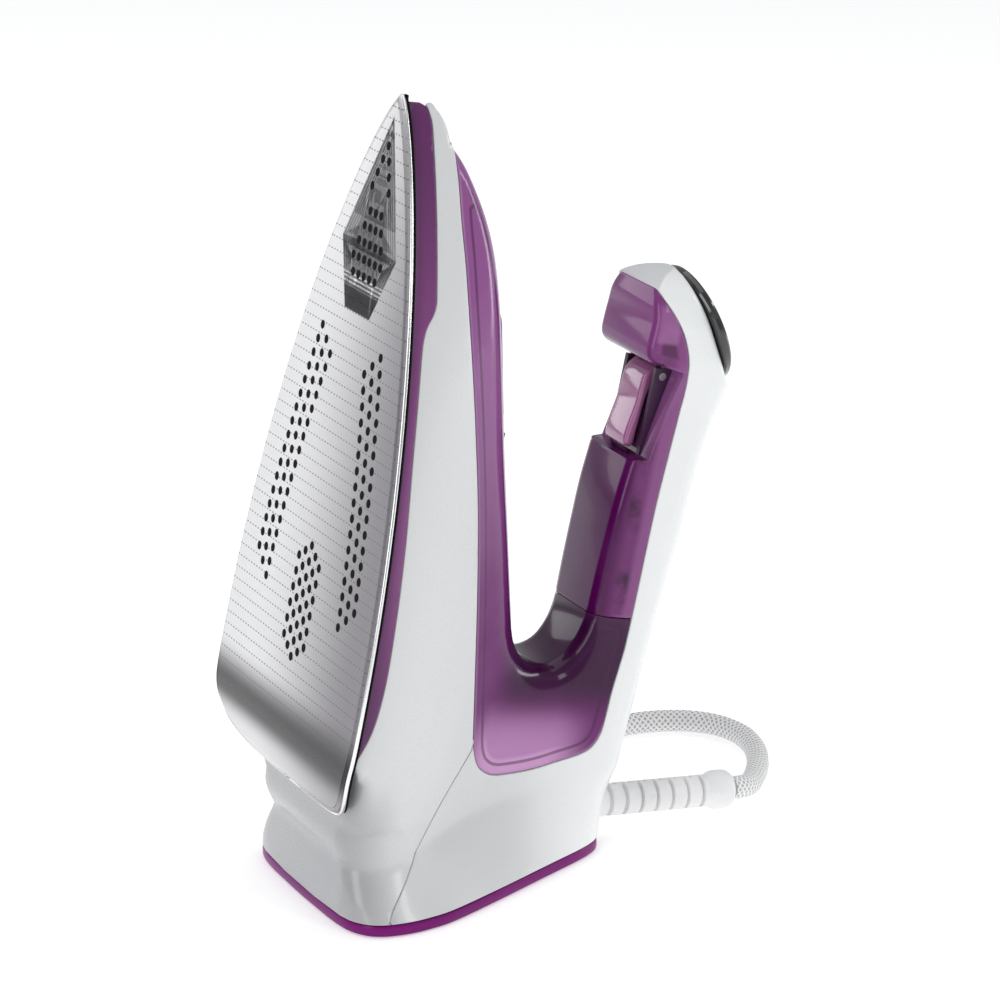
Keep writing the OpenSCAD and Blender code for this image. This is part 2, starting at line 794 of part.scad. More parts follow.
trigger_pin_h = 121.5;
trigger_press = 7;
module trigger() {
    outline = [[17, 114], [20, 113.2], [26, 113.9], [33, 115.2], [40, 115.6], [44.5, 116.4],
               [48.3, 119.5], [48.3, 122.5], [45.5, 124.8], [42, 123.5], [38, 119.4],
               [24, 117.9], [17.5, 117.2]];
    color([0.75, 0.5, 0.72, 0.8]) stood_up() difference() {
        across(trigger_half) offset(r = 0.8) offset(delta = -0.8) polygon(outline);
        across(far / 8) translate([trigger_pin_at, trigger_pin_h])
            circle(d = trigger_pin_d + 2 * pin_clear);
        across(spring_half + 0.6) translate([trigger_pin_at, trigger_pin_h]) circle(d = 7.4);
    }
}

module trigger_pin() {
    color([0.7, 0.7, 0.72]) stood_up() across(tray_half - 0.3)
        translate([trigger_pin_at, trigger_pin_h]) circle(d = trigger_pin_d);
}

// Torsion spring: three turns of wire round the trigger's pin
spring_half = 3;
module trigger_spring() {
    wire = 0.9;
    turns = 3;
    coil_r = 2.7;
    sides = 8;
    steps = 14;
    ring_count = turns * steps;
    points = [for (i = [0:ring_count], j = [0:sides - 1])
        let (turn = 360 * i / steps, a = 360 * j / sides,
             r = coil_r + wire / 2 * cos(a),
             y = -spring_half + wire / 2 + (2 * spring_half - wire) * i / ring_count
                 + wire / 2 * sin(a))
        [trigger_pin_at + r * cos(turn), y, trigger_pin_h + r * sin(turn)]];
    sides_of = [for (i = [0:ring_count - 1], j = [0:sides - 1]) let (k = (j + 1) % sides)
        [i * sides + j, i * sides + k, (i + 1) * sides + k, (i + 1) * sides + j]];
    color([0.75, 0.75, 0.77]) stood_up()
        polyhedron(points = points,
                   faces = concat([[for (j = [0:sides - 1]) sides - 1 - j]],
                                  [for (f = sides_of) f],
                                  [[for (j = [0:sides - 1]) ring_count * sides + j]]));
}

// ---- head ----

dial_centre = [63, handle_top - 4];
module dial_place() {
    translate([dial_centre[0], 0, dial_centre[1]]) rotate([0, dial_tilt, 0]) children();
}

dial_bush_d = 15;
dial_gap = 0.4;
module dial() {
    color([0.04, 0.04, 0.05]) stood_up() dial_place() difference() {
        union() {
            translate([0, 0, dial_gap]) cylinder(h = dial_t, d = dial_d, $fn = 96);
            translate([0, 0, -12]) cylinder(h = 12 + dial_gap, d = dial_shaft_d);
        }
        translate([0, 0, dial_t - 0.8]) cylinder(h = 4, d = lens_d + 0.6);
        translate([0, 0, -13]) cylinder(h = 30, d = 4.2);
    }
}

module dial_bush() {
    color([0.85, 0.85, 0.86]) stood_up() dial_place() difference() {
        translate([0, 0, -11]) cylinder(h = 11, d = dial_bush_d);
        translate([0, 0, -12]) cylinder(h = 14, d = dial_shaft_d + 2 * pin_clear);
    }
}

lens_d = 14;
module indicator_lens() {
    color([0.9, 0.9, 0.92]) stood_up() dial_place() {
        translate([0, 0, dial_t]) cylinder(h = 1, d = lens_d);
        translate([0, 0, -12.5]) cylinder(h = 13 + dial_t, d = 4);
    }
}

module control_board() {
    color([0.1, 0.35, 0.18]) stood_up() dial_place() {
        translate([-3, -10, -14.6]) cube([13, 20, 1.6]);
        translate([-1, -6, -16.4]) cube([5, 7, 1.8]);
        translate([5, 1, -16.8]) cube([4, 6, 2.2]);
    }
}

// ---- heel and cord ----

module terminal_block() {
    color([0.92, 0.92, 0.88]) difference() {
        translate([2, -15, trim_h]) cube([14, 30, 11]);
        for (y = [-9, 0, 9])
            translate([1, y, trim_h + 5]) rotate([0, 90, 0]) cylinder(h = 20, d = 3.5);
    }
}

heel_back_x = foot_len / 2;
bushing_droop = 4.9;
bushing_root = 17;

// z along the bushing's axis, from the place where it leaves the heel
module bushing_place() {
    translate([heel_back_x, 0, bushing_z]) rotate([0, 90 + bushing_droop, 0]) children();
}

module cord_clamp() {
    color([0.88, 0.88, 0.86]) difference() {
        translate([heel_back_x - 32, -9, trim_h]) cube([8, 18, bushing_z - trim_h + 10]);
        bushing_place() translate([0, 0, -40]) cylinder(h = 30, d = cord_d + 0.2);
    }
}

module cord_bushing() {
    bulb_d = 15;
    bulb_len = 10;
    slot_pitch = 6.6;
    flange_t = 3;
    color([0.9, 0.9, 0.89]) bushing_place() difference() {
        union() {
            translate([0, 0, -bushing_root])
                cylinder(h = bushing_root + bushing_len - bulb_len / 2, d = bushing_d);
            translate([0, 0, -bushing_root]) cylinder(h = flange_t, d = bushing_d + 5);
            translate([0, 0, bushing_len - bulb_len]) rotate_extrude() hull() {
                square([sliver, bulb_len]);
                translate([bulb_d / 2 - 3, bulb_len / 2]) circle(r = 3, $fn = 24);
                square([bushing_d / 2 - 0.5, sliver]);
                translate([0, bulb_len - sliver]) square([cord_d / 2 + 0.4, sliver]);
            }
        }
        translate([0, 0, -bushing_root - 1]) cylinder(h = bushing_root, d = cord_d);
        for (k = [0:4], side = [-1, 1])
            translate([side * (bushing_d / 2), 0, 7 + slot_pitch * k + (side + 1) * slot_pitch / 4])
                cube([5.5, far, 1.5], center = true);
    }
}

// The free cord: out of the bushing, down to the table, round a loop and back to the coil
coil_centre = [42, 122];
coil_mid_r = 50;
cord_start = [heel_back_x + bushing_len * cos(bushing_droop), 0,
              bushing_z - bushing_len * sin(bushing_droop)];
cord_route = [cord_start, [122.5, 1.2, 10.4], [128, 4.5, 8.8], [134, 10.5, 6.6], [140, 18, 5.3],
              [147, 27.5, 4.9], [153, 38, 4.8], [157.5, 50, 4.8], [159, 63, 4.8], [156, 75.5, 4.8],
              [148, 85, 4.8], [137, 90.5, 4.8], [124, 92.5, 4.8], [111, 91, 4.8], [98, 86.5, 4.8],
              [85, 80, 4.8], [72, 73, 4.8], [60, 67, 4.8], [50, 63.8, 4.8], [42, 63, 4.8]];

function spline(p0, p1, p2, p3, f) =
    0.5 * (2 * p1 + (p2 - p0) * f + (2 * p0 - 5 * p1 + 4 * p2 - p3) * f * f
           + (3 * p1 - p0 - 3 * p2 + p3) * f * f * f);
function smooth_route(route, steps) = let (last = len(route) - 1) concat(
    [for (i = [0:last - 1], s = [0:steps - 1])
        spline(route[max(i - 1, 0)], route[i], route[i + 1], route[min(i + 2, last)], s / steps)],
    [route[last]]);
function unit(v) = v / norm(v);

module swept_tube(path, d, sides = 10) {
    last = len(path) - 1;
    points = [for (i = [0:last]) let (
            ahead = unit(path[min(i + 1, last)] - path[max(i - 1, 0)]),
            right = unit(cross(ahead, [0, 0, 1])),
            up = cross(right, ahead))
        for (j = [0:sides - 1]) path[i] + d / 2 * (cos(360 * j / sides) * right
                                                   + sin(360 * j / sides) * up)];
    polyhedron(points = points, faces = concat(
        [[for (j = [0:sides - 1]) sides - 1 - j]],
        [for (i = [0:last - 1], j = [0:sides - 1]) let (k = (j + 1) % sides)
            [i * sides + j, i * sides + k, (i + 1) * sides + k, (i + 1) * sides + j]],
        [[for (j = [0:sides - 1]) last * sides + j]]));
}

module cord() {
    color([0.93, 0.93, 0.92]) swept_tube(smooth_route(cord_route, 2), cord_d);
}

module cord_coil() {
    inner = coil_mid_r - 1.5 * cord_d;
    outer = coil_mid_r + 1.5 * cord_d;
    color([0.93, 0.93, 0.92]) translate([coil_centre[0], coil_centre[1], 0.2])
        rotate_extrude($fn = 96)
            polygon([[inner, 0], [outer, 0], [outer, 2 * cord_d], [inner, 2 * cord_d]]);
}

// The plug lies on the table beside the coil, on the line by which the cord leaves it
plug_d = 37;
plug_turn = 135;
plug_tangent = coil_centre + (coil_mid_r + cord_d) * [cos(plug_turn), sin(plug_turn)];
plug_reach = 22;
plug_tail = 38;
plug_len = 40;
plug_axis_z = plug_d / 2;

module plug_place() {
    translate([plug_tangent[0], plug_tangent[1], plug_axis_z]) rotate([0, 0, plug_turn - 90])
        rotate([0, 90, 0]) children();
}

module plug_body() {
    color([0.93, 0.93, 0.92]) plug_place() difference() {
        union() {
            translate([0, 0, plug_reach]) cylinder(h = plug_tail, d1 = cord_d + 3, d2 = 18);
            translate([0, 0, plug_reach + plug_tail - 4]) cylinder(h = 16, d1 = 18, d2 = plug_d);
            translate([0, 0, plug_reach + plug_tail + 11.9]) cylinder(h = plug_len - 16, d = plug_d);
        }
        for (side = [-1, 1]) translate([0, side * 9.5, plug_reach + plug_tail + plug_len - 20])
            cylinder(h = 30, d = 4.8);
    }
}

module plug_pins() {
    pin_d = 4.8;
    pin_len = 19;
    tip = plug_reach + plug_tail + plug_len - 4.1;
    color([0.75, 0.74, 0.7]) plug_place() for (side = [-1, 1])
        translate([0, side * 9.5, tip - 12]) {
            cylinder(h = 12 + pin_len - pin_d / 2, d = pin_d);
            translate([0, 0, 12 + pin_len - pin_d / 2]) sphere(d = pin_d, $fn = 24);
        }
}

// ---- fasteners ----

module screw(shank_d, shank_len, head_d, head_h) {
    cylinder(h = shank_len, d = shank_d);
    translate([0, 0, shank_len]) difference() {
        cylinder(h = head_h, d = head_d);
        translate([0, 0, head_h - 1]) {
            cube([head_d * 0.6, 1, 2.5], center = true);
            cube([1, head_d * 0.6, 2.5], center = true);
        }
    }
}

module block_screws() {
    color([0.6, 0.6, 0.62]) stood_up() for (p = block_screw_places)
        translate([p[0], p[1], block_top - 6.5]) screw(3.3, 8.5, 6.5, 2.4);
}

module shell_screws() {
    color([0.6, 0.6, 0.62]) for (side = [-1, 1])
        translate([-20, side * 30, trim_h + 10]) mirror([0, 0, 1]) screw(3, 8, 5.6, 2);
}

soleplate();
tip_inlay();
heater_block();
heating_element();
chamber_cover();
thermostat();
thermal_fuse();
heat_shield();
sole_gasket();
skirt();
body_shell();
heel_shell();
foot_trim();
water_tank();
mouth_seal();
filler_flap();
flap_pin();
drip_valve();
handle_shell();
handle_underside();
pump_tray();
pump_body();
pump_plunger();
water_hose();
steam_hose();
trigger();
trigger_pin();
trigger_spring();
control_board();
dial();
dial_bush();
indicator_lens();
terminal_block();
cord_clamp();
cord_bushing();
cord();
cord_coil();
plug_body();
plug_pins();
block_screws();
shell_screws();
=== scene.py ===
"""Studio scene of a clothes iron standing on its heel: casings, clear tank, soleplate, dial and cord."""

from __future__ import annotations

import json
import logging
import math
from dataclasses import dataclass, field
from enum import Enum
from typing import Any, Callable, Iterable, Sequence

import bmesh
import bpy
import numpy as np
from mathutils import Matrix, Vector
from mathutils.geometry import delaunay_2d_cdt

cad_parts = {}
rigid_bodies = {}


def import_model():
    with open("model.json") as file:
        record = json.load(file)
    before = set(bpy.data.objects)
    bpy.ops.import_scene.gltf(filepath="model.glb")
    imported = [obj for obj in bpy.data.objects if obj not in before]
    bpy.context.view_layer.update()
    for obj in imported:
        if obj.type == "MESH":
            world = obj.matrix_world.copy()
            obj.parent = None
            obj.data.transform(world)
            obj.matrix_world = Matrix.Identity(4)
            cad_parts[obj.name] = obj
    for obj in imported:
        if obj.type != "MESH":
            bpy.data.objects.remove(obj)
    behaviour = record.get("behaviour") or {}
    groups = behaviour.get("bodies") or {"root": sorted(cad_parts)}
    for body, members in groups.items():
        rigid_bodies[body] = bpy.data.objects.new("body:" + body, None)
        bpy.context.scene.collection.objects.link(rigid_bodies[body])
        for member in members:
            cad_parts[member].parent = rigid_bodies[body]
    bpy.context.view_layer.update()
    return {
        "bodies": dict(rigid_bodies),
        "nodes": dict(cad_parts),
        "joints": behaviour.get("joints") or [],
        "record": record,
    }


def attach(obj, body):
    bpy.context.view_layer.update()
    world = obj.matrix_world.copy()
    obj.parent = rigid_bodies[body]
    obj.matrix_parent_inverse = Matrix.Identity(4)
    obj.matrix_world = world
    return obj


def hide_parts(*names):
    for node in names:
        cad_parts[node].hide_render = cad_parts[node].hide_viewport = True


LOG = logging.getLogger("iron")
MM = 0.001
Pair = tuple[float, float]
Triple = tuple[float, float, float]

# The sole's plan, in millimetres: its tip, its widest place, the length of its tail and its half width
SOLE_TIP = 133
SOLE_WIDEST = -80
SOLE_FRONT = SOLE_TIP - SOLE_WIDEST
SOLE_TAIL = 42
SOLE_HALF = 60.5
# Where the plate starts to curl up, and the radius of the curl
CURL_FROM = -97
CURL_RADIUS = 32


class Body(Enum):
    """The moving groups that pieces ride on."""

    IRON = "iron"
    TRIGGER = "trigger"
    PLUNGER = "plunger"
    FLAP = "flap"
    DIAL = "dial"


class Edge(Enum):
    """How far apart two faces may turn before their edge shows as a crease, in degrees."""

    SOFT = 62.0
    PLAIN = 38.0
    CRISP = 24.0


# ---------------------------------------------------------------- the iron's own directions


@dataclass(frozen=True)
class Stand:
    """How the sole's own directions lie in the standing frame."""

    lean: float = math.radians(12.4)
    x: float = -46.5
    z: float = 164.6

    def point(self, t: float, y: float, h: float) -> Vector:
        """Turns a place on the iron into the shared frame.

        Args:
            t: distance forward to the tip, in millimetres.
            y: distance across.
            h: distance up from the sole.

        Returns:
            The point in metres.
        """
        c, s = math.cos(self.lean), math.sin(self.lean)
        return Vector((t * s + h * c + self.x, y, t * c - h * s + self.z)) * MM

    def points(self, rows: np.ndarray) -> np.ndarray:
        """Turns rows of (t, y, h) in millimetres into rows of shared-frame points in metres."""
        c, s = math.cos(self.lean), math.sin(self.lean)
        t, y, h = rows[:, 0], rows[:, 1], rows[:, 2]
        return np.stack([t * s + h * c + self.x, y, t * c - h * s + self.z], 1) * MM

    def side(self, x: float, z: float) -> Pair:
        """The side-view place (t, h) of a standing-frame place (x, z), all in millimetres."""
        c, s = math.cos(self.lean), math.sin(self.lean)
        u, v = x - self.x, z - self.z
        return (u * s + v * c, u * c - v * s)


STAND = Stand()


def dense(points: Sequence[Pair], step: float = 2.5) -> list[Pair]:
    """Runs a smooth curve through side-view places.

    Args:
        points: the places, in order.
        step: greatest distance between results.

    Returns:
        Places on the curve, both ends included.
    """
    p = np.array(points, float)
    out: list[Pair] = []
    for i in range(len(p) - 1):
        a, b = p[max(i - 1, 0)], p[i]
        c, d = p[i + 1], p[min(i + 2, len(p) - 1)]
        count = max(1, int(math.ceil(np.linalg.norm(c - b) / step)))
        for k in range(count):
            f = k / count
            q = 0.5 * (2 * b + (c - a) * f + (2 * a - 5 * b + 4 * c - d) * f * f
                       + (3 * b - a - 3 * c + d) * f ** 3)
            out.append((float(q[0]), float(q[1])))
    out.append((float(p[-1][0]), float(p[-1][1])))
    return out


def straight(a: Pair, b: Pair, step: float = 3.0) -> list[Pair]:
    """Places along a straight line from a to b, both included."""
    count = max(1, int(math.ceil(math.dist(a, b) / step)))
    return [(a[0] + (b[0] - a[0]) * k / count, a[1] + (b[1] - a[1]) * k / count) for k in range(count + 1)]


class Curve:
    """A smooth function of one number, through given values."""

    def __init__(self, xs: Sequence[float], ys: Sequence[float]) -> None:
        """Keeps a finely sampled cubic through the values.

        Args:
            xs: places, rising.
            ys: values there.
        """
        fine = dense(list(zip(xs, ys)), 0.7)
        order = sorted(fine)
        self.xs = np.array([p[0] for p in order])
        self.ys = np.array([p[1] for p in order])

    def __call__(self, x: Any) -> np.ndarray:
        """The value at x, held constant past both ends."""
        return np.interp(np.asarray(x, float), self.xs, self.ys)


# ---------------------------------------------------------------- widths of the casings


class Width:
    """Half widths of the casings, handle and foot, in millimetres."""

    section = Curve([5, 15, 28, 40, 55, 70, 85, 100, 111, 145],
                    [58.5, 56, 49, 41, 31, 25, 21.5, 19.5, 18.5, 18.5])
    rear = Curve([-200, -132, -124, -112, -100, -90, -60, 140], [39, 41, 44.5, 51.5, 56.5, 58.2, 58.5, 58.5])
    foot = Curve([-60.4, -60.2, -59.6, -58.4, -56.5, -53.5, -50, -46, -39, -31, -20, 3, 30, 46.7, 54.3, 58,
                  60.2],
                 [4, 18, 30, 38, 43, 47, 49.3, 50.6, 51.4, 50.7, 48, 37.7, 24.6, 16.5, 11.8, 8, 3])

    @staticmethod
    def plan(t: np.ndarray) -> np.ndarray:
        """Half width of the sole's plan at t, ahead of its widest place."""
        u = np.clip((SOLE_TIP - t) / SOLE_FRONT, 0, 1)
        return SOLE_HALF * np.power(1 - np.power(1 - u, 2), 0.8)

    @classmethod
    def casing(cls, t: np.ndarray, h: np.ndarray) -> np.ndarray:
        """Half width of body, tank and heel at side-view places, with the foot's flare.

        Args:
            t: places along the iron.
            h: heights above the sole.

        Returns:
            Half widths.
        """
        full = (cls.plan(t) - 2) * cls.section(h) / 58.5
        behind = cls.rear(t)
        wide = 0.5 * (full + behind - np.sqrt((full - behind) ** 2 + 4.0))
        c, s = math.cos(STAND.lean), math.sin(STAND.lean)
        x = t * s + h * c + STAND.x
        z = t * c - h * s + STAND.z
        crease = 21 + 13 * np.clip((x + 50) / 70, 0, 1)
        f = np.clip((z - 4.2) / (crease - 4.2), 0, 1)
        foot = cls.foot(x)
        return np.maximum(np.where(z < crease, foot + (wide - foot) * f, wide), 0.25)

    @classmethod
    def grip(cls, t: np.ndarray, h: np.ndarray) -> np.ndarray:
        """Half width of the handle and of the head's rounded nose."""
        head = 18.5 + 2.5 * np.clip((t - 34) / 18, 0, 1)
        u = np.clip((t - 62) / 23.0, 0, 1)
        return np.maximum(head * np.power(np.maximum(1 - u ** 2.4, 0), 0.55), 0.3)

    @classmethod
    def back(cls, t: np.ndarray, h: np.ndarray) -> np.ndarray:
        """Half width of the one white form that is heel, handle and head."""
        share = np.clip((t + 85) / 38, 0, 1) * np.clip((h - 96) / 12, 0, 1)
        return cls.casing(t, h) * (1 - share) + cls.grip(t, h) * share


# ---------------------------------------------------------------- closed forms from a side view


@dataclass
class Run:
    """One stretch of a form's outline, with the rounding of its edge at both ends."""

    places: list[Pair]
    first: float = 0.6
    last: float | None = None


@dataclass
class Form:
    """A closed solid: a side-view outline given its width, with rounded edges."""

    runs: list[Run]
    width: Callable[[np.ndarray, np.ndarray], np.ndarray]
    spacing: float = 3.6
    outline: np.ndarray = field(init=False)
    radius: np.ndarray = field(init=False)

    def __post_init__(self) -> None:
        """Joins the stretches into one outline with a radius at each place."""
        places: list[Pair] = []
        radii: list[float] = []
        for run in self.runs:
            last = run.first if run.last is None else run.last
            n = len(run.places)
            for k, p in enumerate(run.places):
                if places and math.dist(places[-1], p) < 0.05:
                    radii[-1] = max(radii[-1], run.first)
                    continue
                places.append(p)
                radii.append(run.first + (last - run.first) * k / max(n - 1, 1))
        if math.dist(places[0], places[-1]) < 0.05:
            places.pop()
            radii.pop()
        self.outline = np.array(places)
        self.radius = np.array(radii)
        x, y = self.outline[:, 0], self.outline[:, 1]
        if np.sum(x * np.roll(y, -1) - np.roll(x, -1) * y) < 0:
            self.outline = self.outline[::-1].copy()
            self.radius = self.radius[::-1].copy()

    def reach(self, q: np.ndarray) -> tuple[np.ndarray, np.ndarray]:
        """Measures side-view places against the outline.

        Args:
            q: rows of (t, h).

        Returns:
            The distance to the outline, and how far the rounding takes the surface in.
        """
        a = self.outline
        b = np.roll(a, -1, 0)
        ra, rb = self.radius, np.roll(self.radius, -1)
        e = b - a
        w = q[:, None, :] - a[None]
        u = np.clip((w * e[None]).sum(2) / np.maximum((e * e).sum(1), 1e-9)[None], 0, 1)
        d = np.sqrt(((w - u[..., None] * e[None]) ** 2).sum(2))
        r = ra[None] + (rb - ra)[None] * u
        inner = np.clip(r - d, 0, r)
        cut = r - np.sqrt(np.maximum(r * r - inner * inner, 0))
        return d.min(1), cut.max(1)

    def inside(self, q: np.ndarray) -> np.ndarray:
        """Which side-view places lie inside the outline."""
        a = self.outline
        b = np.roll(a, -1, 0)
        x, y = q[:, 0][:, None], q[:, 1][:, None]
        crosses = (a[:, 1][None] > y) != (b[:, 1][None] > y)
        at = a[:, 0][None] + (y - a[:, 1][None]) * (b - a)[:, 0][None] / np.where(
            crosses, (b - a)[:, 1][None], 1)
        return (np.sum(crosses & (x < at), 1) % 2) == 1

    def fill(self) -> np.ndarray:
        """Places inside the outline: rings along rounded edges, then an even field."""
        a = self.outline
        ahead = np.roll(a, -1, 0) - np.roll(a, 1, 0)
        normal = np.stack([-ahead[:, 1], ahead[:, 0]], 1)
        normal /= np.maximum(np.linalg.norm(normal, axis=1), 1e-9)[:, None]
        found = []
        for share in (0.06, 0.2, 0.42, 0.7, 1.03):
            d = self.radius * share
            q = a + normal * d[:, None]
            keep = self.inside(q)
            far, _ = self.reach(q)
            keep &= (far > 0.86 * d) & (d > 0.05)
            found.append(q[keep])
        lo, hi = a.min(0), a.max(0)
        s = self.spacing
        rows = []
        for j, h in enumerate(np.arange(lo[1], hi[1], s * 0.87)):
            ts = np.arange(lo[0] + (j % 2) * s / 2, hi[0], s)
            rows.append(np.stack([ts, np.full_like(ts, h)], 1))
        grid = np.concatenate(rows)
        grid = grid[self.inside(grid)]
        far, cut = self.reach(grid)
        grid = grid[(far > 0.45 * s) & (cut < 1e-4)]
        found.append(grid)
        return np.concatenate(found)

    def mesh(self, name: str, lift: Callable[[np.ndarray], np.ndarray] | None = None) -> bpy.types.Object:
        """Builds the closed solid.

        Args:
            name: the piece's name.
            lift: takes rows of (t, y, h) and returns moved rows, where a form needs it.

        Returns:
            The new object, with its distance from the outline stored on it.
        """
        n = len(self.outline)
        pts = np.concatenate([self.outline, self.fill()])
        loop = [(i, (i + 1) % n) for i in range(n)]
        verts, _, faces, _, _, _ = delaunay_2d_cdt([Vector(p) for p in pts], loop, [], 1, 1e-5)
        flat = np.array([(v.x, v.y) for v in verts])
        far, cut = self.reach(flat)
        half = np.maximum(self.width(flat[:, 0], flat[:, 1]) - cut, 0.15)
        near = np.stack([flat[:, 0], -half, flat[:, 1]], 1)
        away = np.stack([flat[:, 0], half, flat[:, 1]], 1)
        rows = np.concatenate([near, away])
        if lift is not None:
            rows = lift(rows)
        m = len(flat)
        sides = [list(f) for f in faces] + [[i + m for i in reversed(f)] for f in faces]
        count: dict[tuple[int, int], int] = {}
        for f in faces:
            for i, j in zip(f, list(f[1:]) + [f[0]]):
                count[(i, j)] = count.get((i, j), 0) + 1
        strip = [[j, i, i + m, j + m] for (i, j) in count if (j, i) not in count]
        obj = make_object(name, STAND.points(rows), sides + strip)
        rim = obj.data.attributes.new("rim", "FLOAT", "POINT")
        rim.data.foreach_set("value", np.concatenate([far, far]).astype(np.float32))
        return obj


def make_object(name: str, points: Iterable, faces: Iterable, edge: Edge = Edge.PLAIN) -> bpy.types.Object:
    """Makes a smooth-shaded object whose faces point outwards.

    Args:
        name: the piece's name.
        points: places in metres, in the shared frame.
        faces: lists of point numbers.
        edge: which edges stay creased.

    Returns:
        The linked object, at the origin.
    """
    mesh = bpy.data.meshes.new(name)
    mesh.from_pydata([tuple(map(float, p)) for p in points], [], [tuple(map(int, f)) for f in faces])
    obj = bpy.data.objects.new(name, mesh)
    bpy.context.scene.collection.objects.link(obj)
    outward(obj)
    shade(obj, edge)
    return obj


def outward(obj: bpy.types.Object) -> None:
    """Turns every face of a closed mesh outwards."""
    b = bmesh.new()
    b.from_mesh(obj.data)
    bmesh.ops.recalc_face_normals(b, faces=b.faces[:])
    b.to_mesh(obj.data)
    b.free()


def shade(obj: bpy.types.Object, edge: Edge) -> None:
    """Shades smoothly, with creases where faces turn by more than the edge's angle."""
    obj.data.shade_smooth()
    obj.data.set_sharp_from_angle(angle=math.radians(edge.value))


def copy_of(frame: dict, node: str, name: str, edge: Edge = Edge.PLAIN) -> bpy.types.Object:
    """A merged, smooth-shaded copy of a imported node, which it stands for.

    Args:
        frame: the loaded frame.
        node: the node's name.
        name: the new piece's name.
        edge: which edges stay creased.

    Returns:
        The new object.
    """
    source = frame["nodes"][node]
    obj = bpy.data.objects.new(name, source.data.copy())
    bpy.context.scene.collection.objects.link(obj)
    b = bmesh.new()
    b.from_mesh(obj.data)
    bmesh.ops.remove_doubles(b, verts=b.verts[:], dist=2e-6)
    bmesh.ops.dissolve_degenerate(b, edges=b.edges[:], dist=1e-6)
    b.to_mesh(obj.data)
    b.free()
    obj.data.materials.clear()
    if "custom_normal" in obj.data.attributes:
        obj.data.attributes.remove(obj.data.attributes["custom_normal"])
    shade(obj, edge)
    return obj


def lathe(name: str, profile: Sequence[Pair], centre: Vector, axis: Vector, steps: int = 96,
          edge: Edge = Edge.CRISP, radius: Callable[[float, float], float] | None = None) -> bpy.types.Object:
    """Turns a closed profile round an axis.

    Args:
        name: the piece's name.
        profile: (distance along the axis, radius) in millimetres, from axis to axis.
        centre: where the axis starts, in metres.
        axis: its direction.
        steps: places round.
        edge: which edges stay creased.
        radius: changes the radius at (distance, angle), where the form isn't round.

    Returns:
        The new object.
    """
    axis = axis.normalized()
    side = axis.cross(Vector((0, 1, 0)))
    side = side.normalized() if side.length > 1e-3 else Vector((1, 0, 0))
    up = side.cross(axis)
    points: list[Vector] = []
    rings: list[list[int]] = []
    for z, r in profile:
        if r < 1e-6:
            rings.append([len(points)])
            points.append(centre + axis * z * MM)
            continue
        ring = []
        for k in range(steps):
            a = 2 * math.pi * k / steps
            q = radius(z, a) * r if radius else r
            ring.append(len(points))
            points.append(centre + (axis * z + (side * math.cos(a) + up * math.sin(a)) * q) * MM)
        rings.append(ring)
    faces = []
    for lower, upper in zip(rings, rings[1:]):
        for k in range(steps):
            j = (k + 1) % steps
            quad = [lower[k % len(lower)], lower[j % len(lower)], upper[j % len(upper)],
                    upper[k % len(upper)]]
            faces.append(list(dict.fromkeys(quad)))
    return make_object(name, points, [f for f in faces if len(f) > 2], edge)


def tube(name: str, path: Sequence[Vector], radius: float, sides: int = 12) -> bpy.types.Object:
    """A closed round tube along a path, with a map of turns round it and metres along it.

    Args:
        name: the piece's name.
        path: its centre line in metres.
        radius: in metres.
        sides: faces round it.

    Returns:
        The new object.
    """
    points: list[Vector] = []
    right = Vector((0, 1, 0))
    for i, p in enumerate(path):
        ahead = (path[min(i + 1, len(path) - 1)] - path[max(i - 1, 0)]).normalized()
        right = (right - ahead * right.dot(ahead)).normalized()
        up = right.cross(ahead)
        for k in range(sides):
            a = 2 * math.pi * k / sides
            points.append(p + (right * math.cos(a) + up * math.sin(a)) * radius)
    faces = []
    spots = []
    run = 0.0
    for i in range(len(path) - 1):
        step = (path[i + 1] - path[i]).length
        for k in range(sides):
            j = (k + 1) % sides
            faces.append([i * sides + k, i * sides + j, (i + 1) * sides + j, (i + 1) * sides + k])
            spots.append([(k / sides, run), ((k + 1) / sides, run),
                          ((k + 1) / sides, run + step), (k / sides, run + step)])
        run += step
    last = (len(path) - 1) * sides
    faces.append([sides - 1 - k for k in range(sides)])
    faces.append([last + k for k in range(sides)])
    spots += [[(0.0, 0.0)] * sides, [(0.0, run)] * sides]
    mesh = bpy.data.meshes.new(name)
    mesh.from_pydata(points, [], faces)
    layer = mesh.uv_layers.new(name="lay")
    for face, spot in zip(mesh.polygons, spots):
        for loop, uv in zip(face.loop_indices, spot):
            layer.data[loop].uv = uv
    obj = bpy.data.objects.new(name, mesh)
    bpy.context.scene.collection.objects.link(obj)
    outward(obj)
    shade(obj, Edge.SOFT)
    return obj


# ---------------------------------------------------------------- shader words


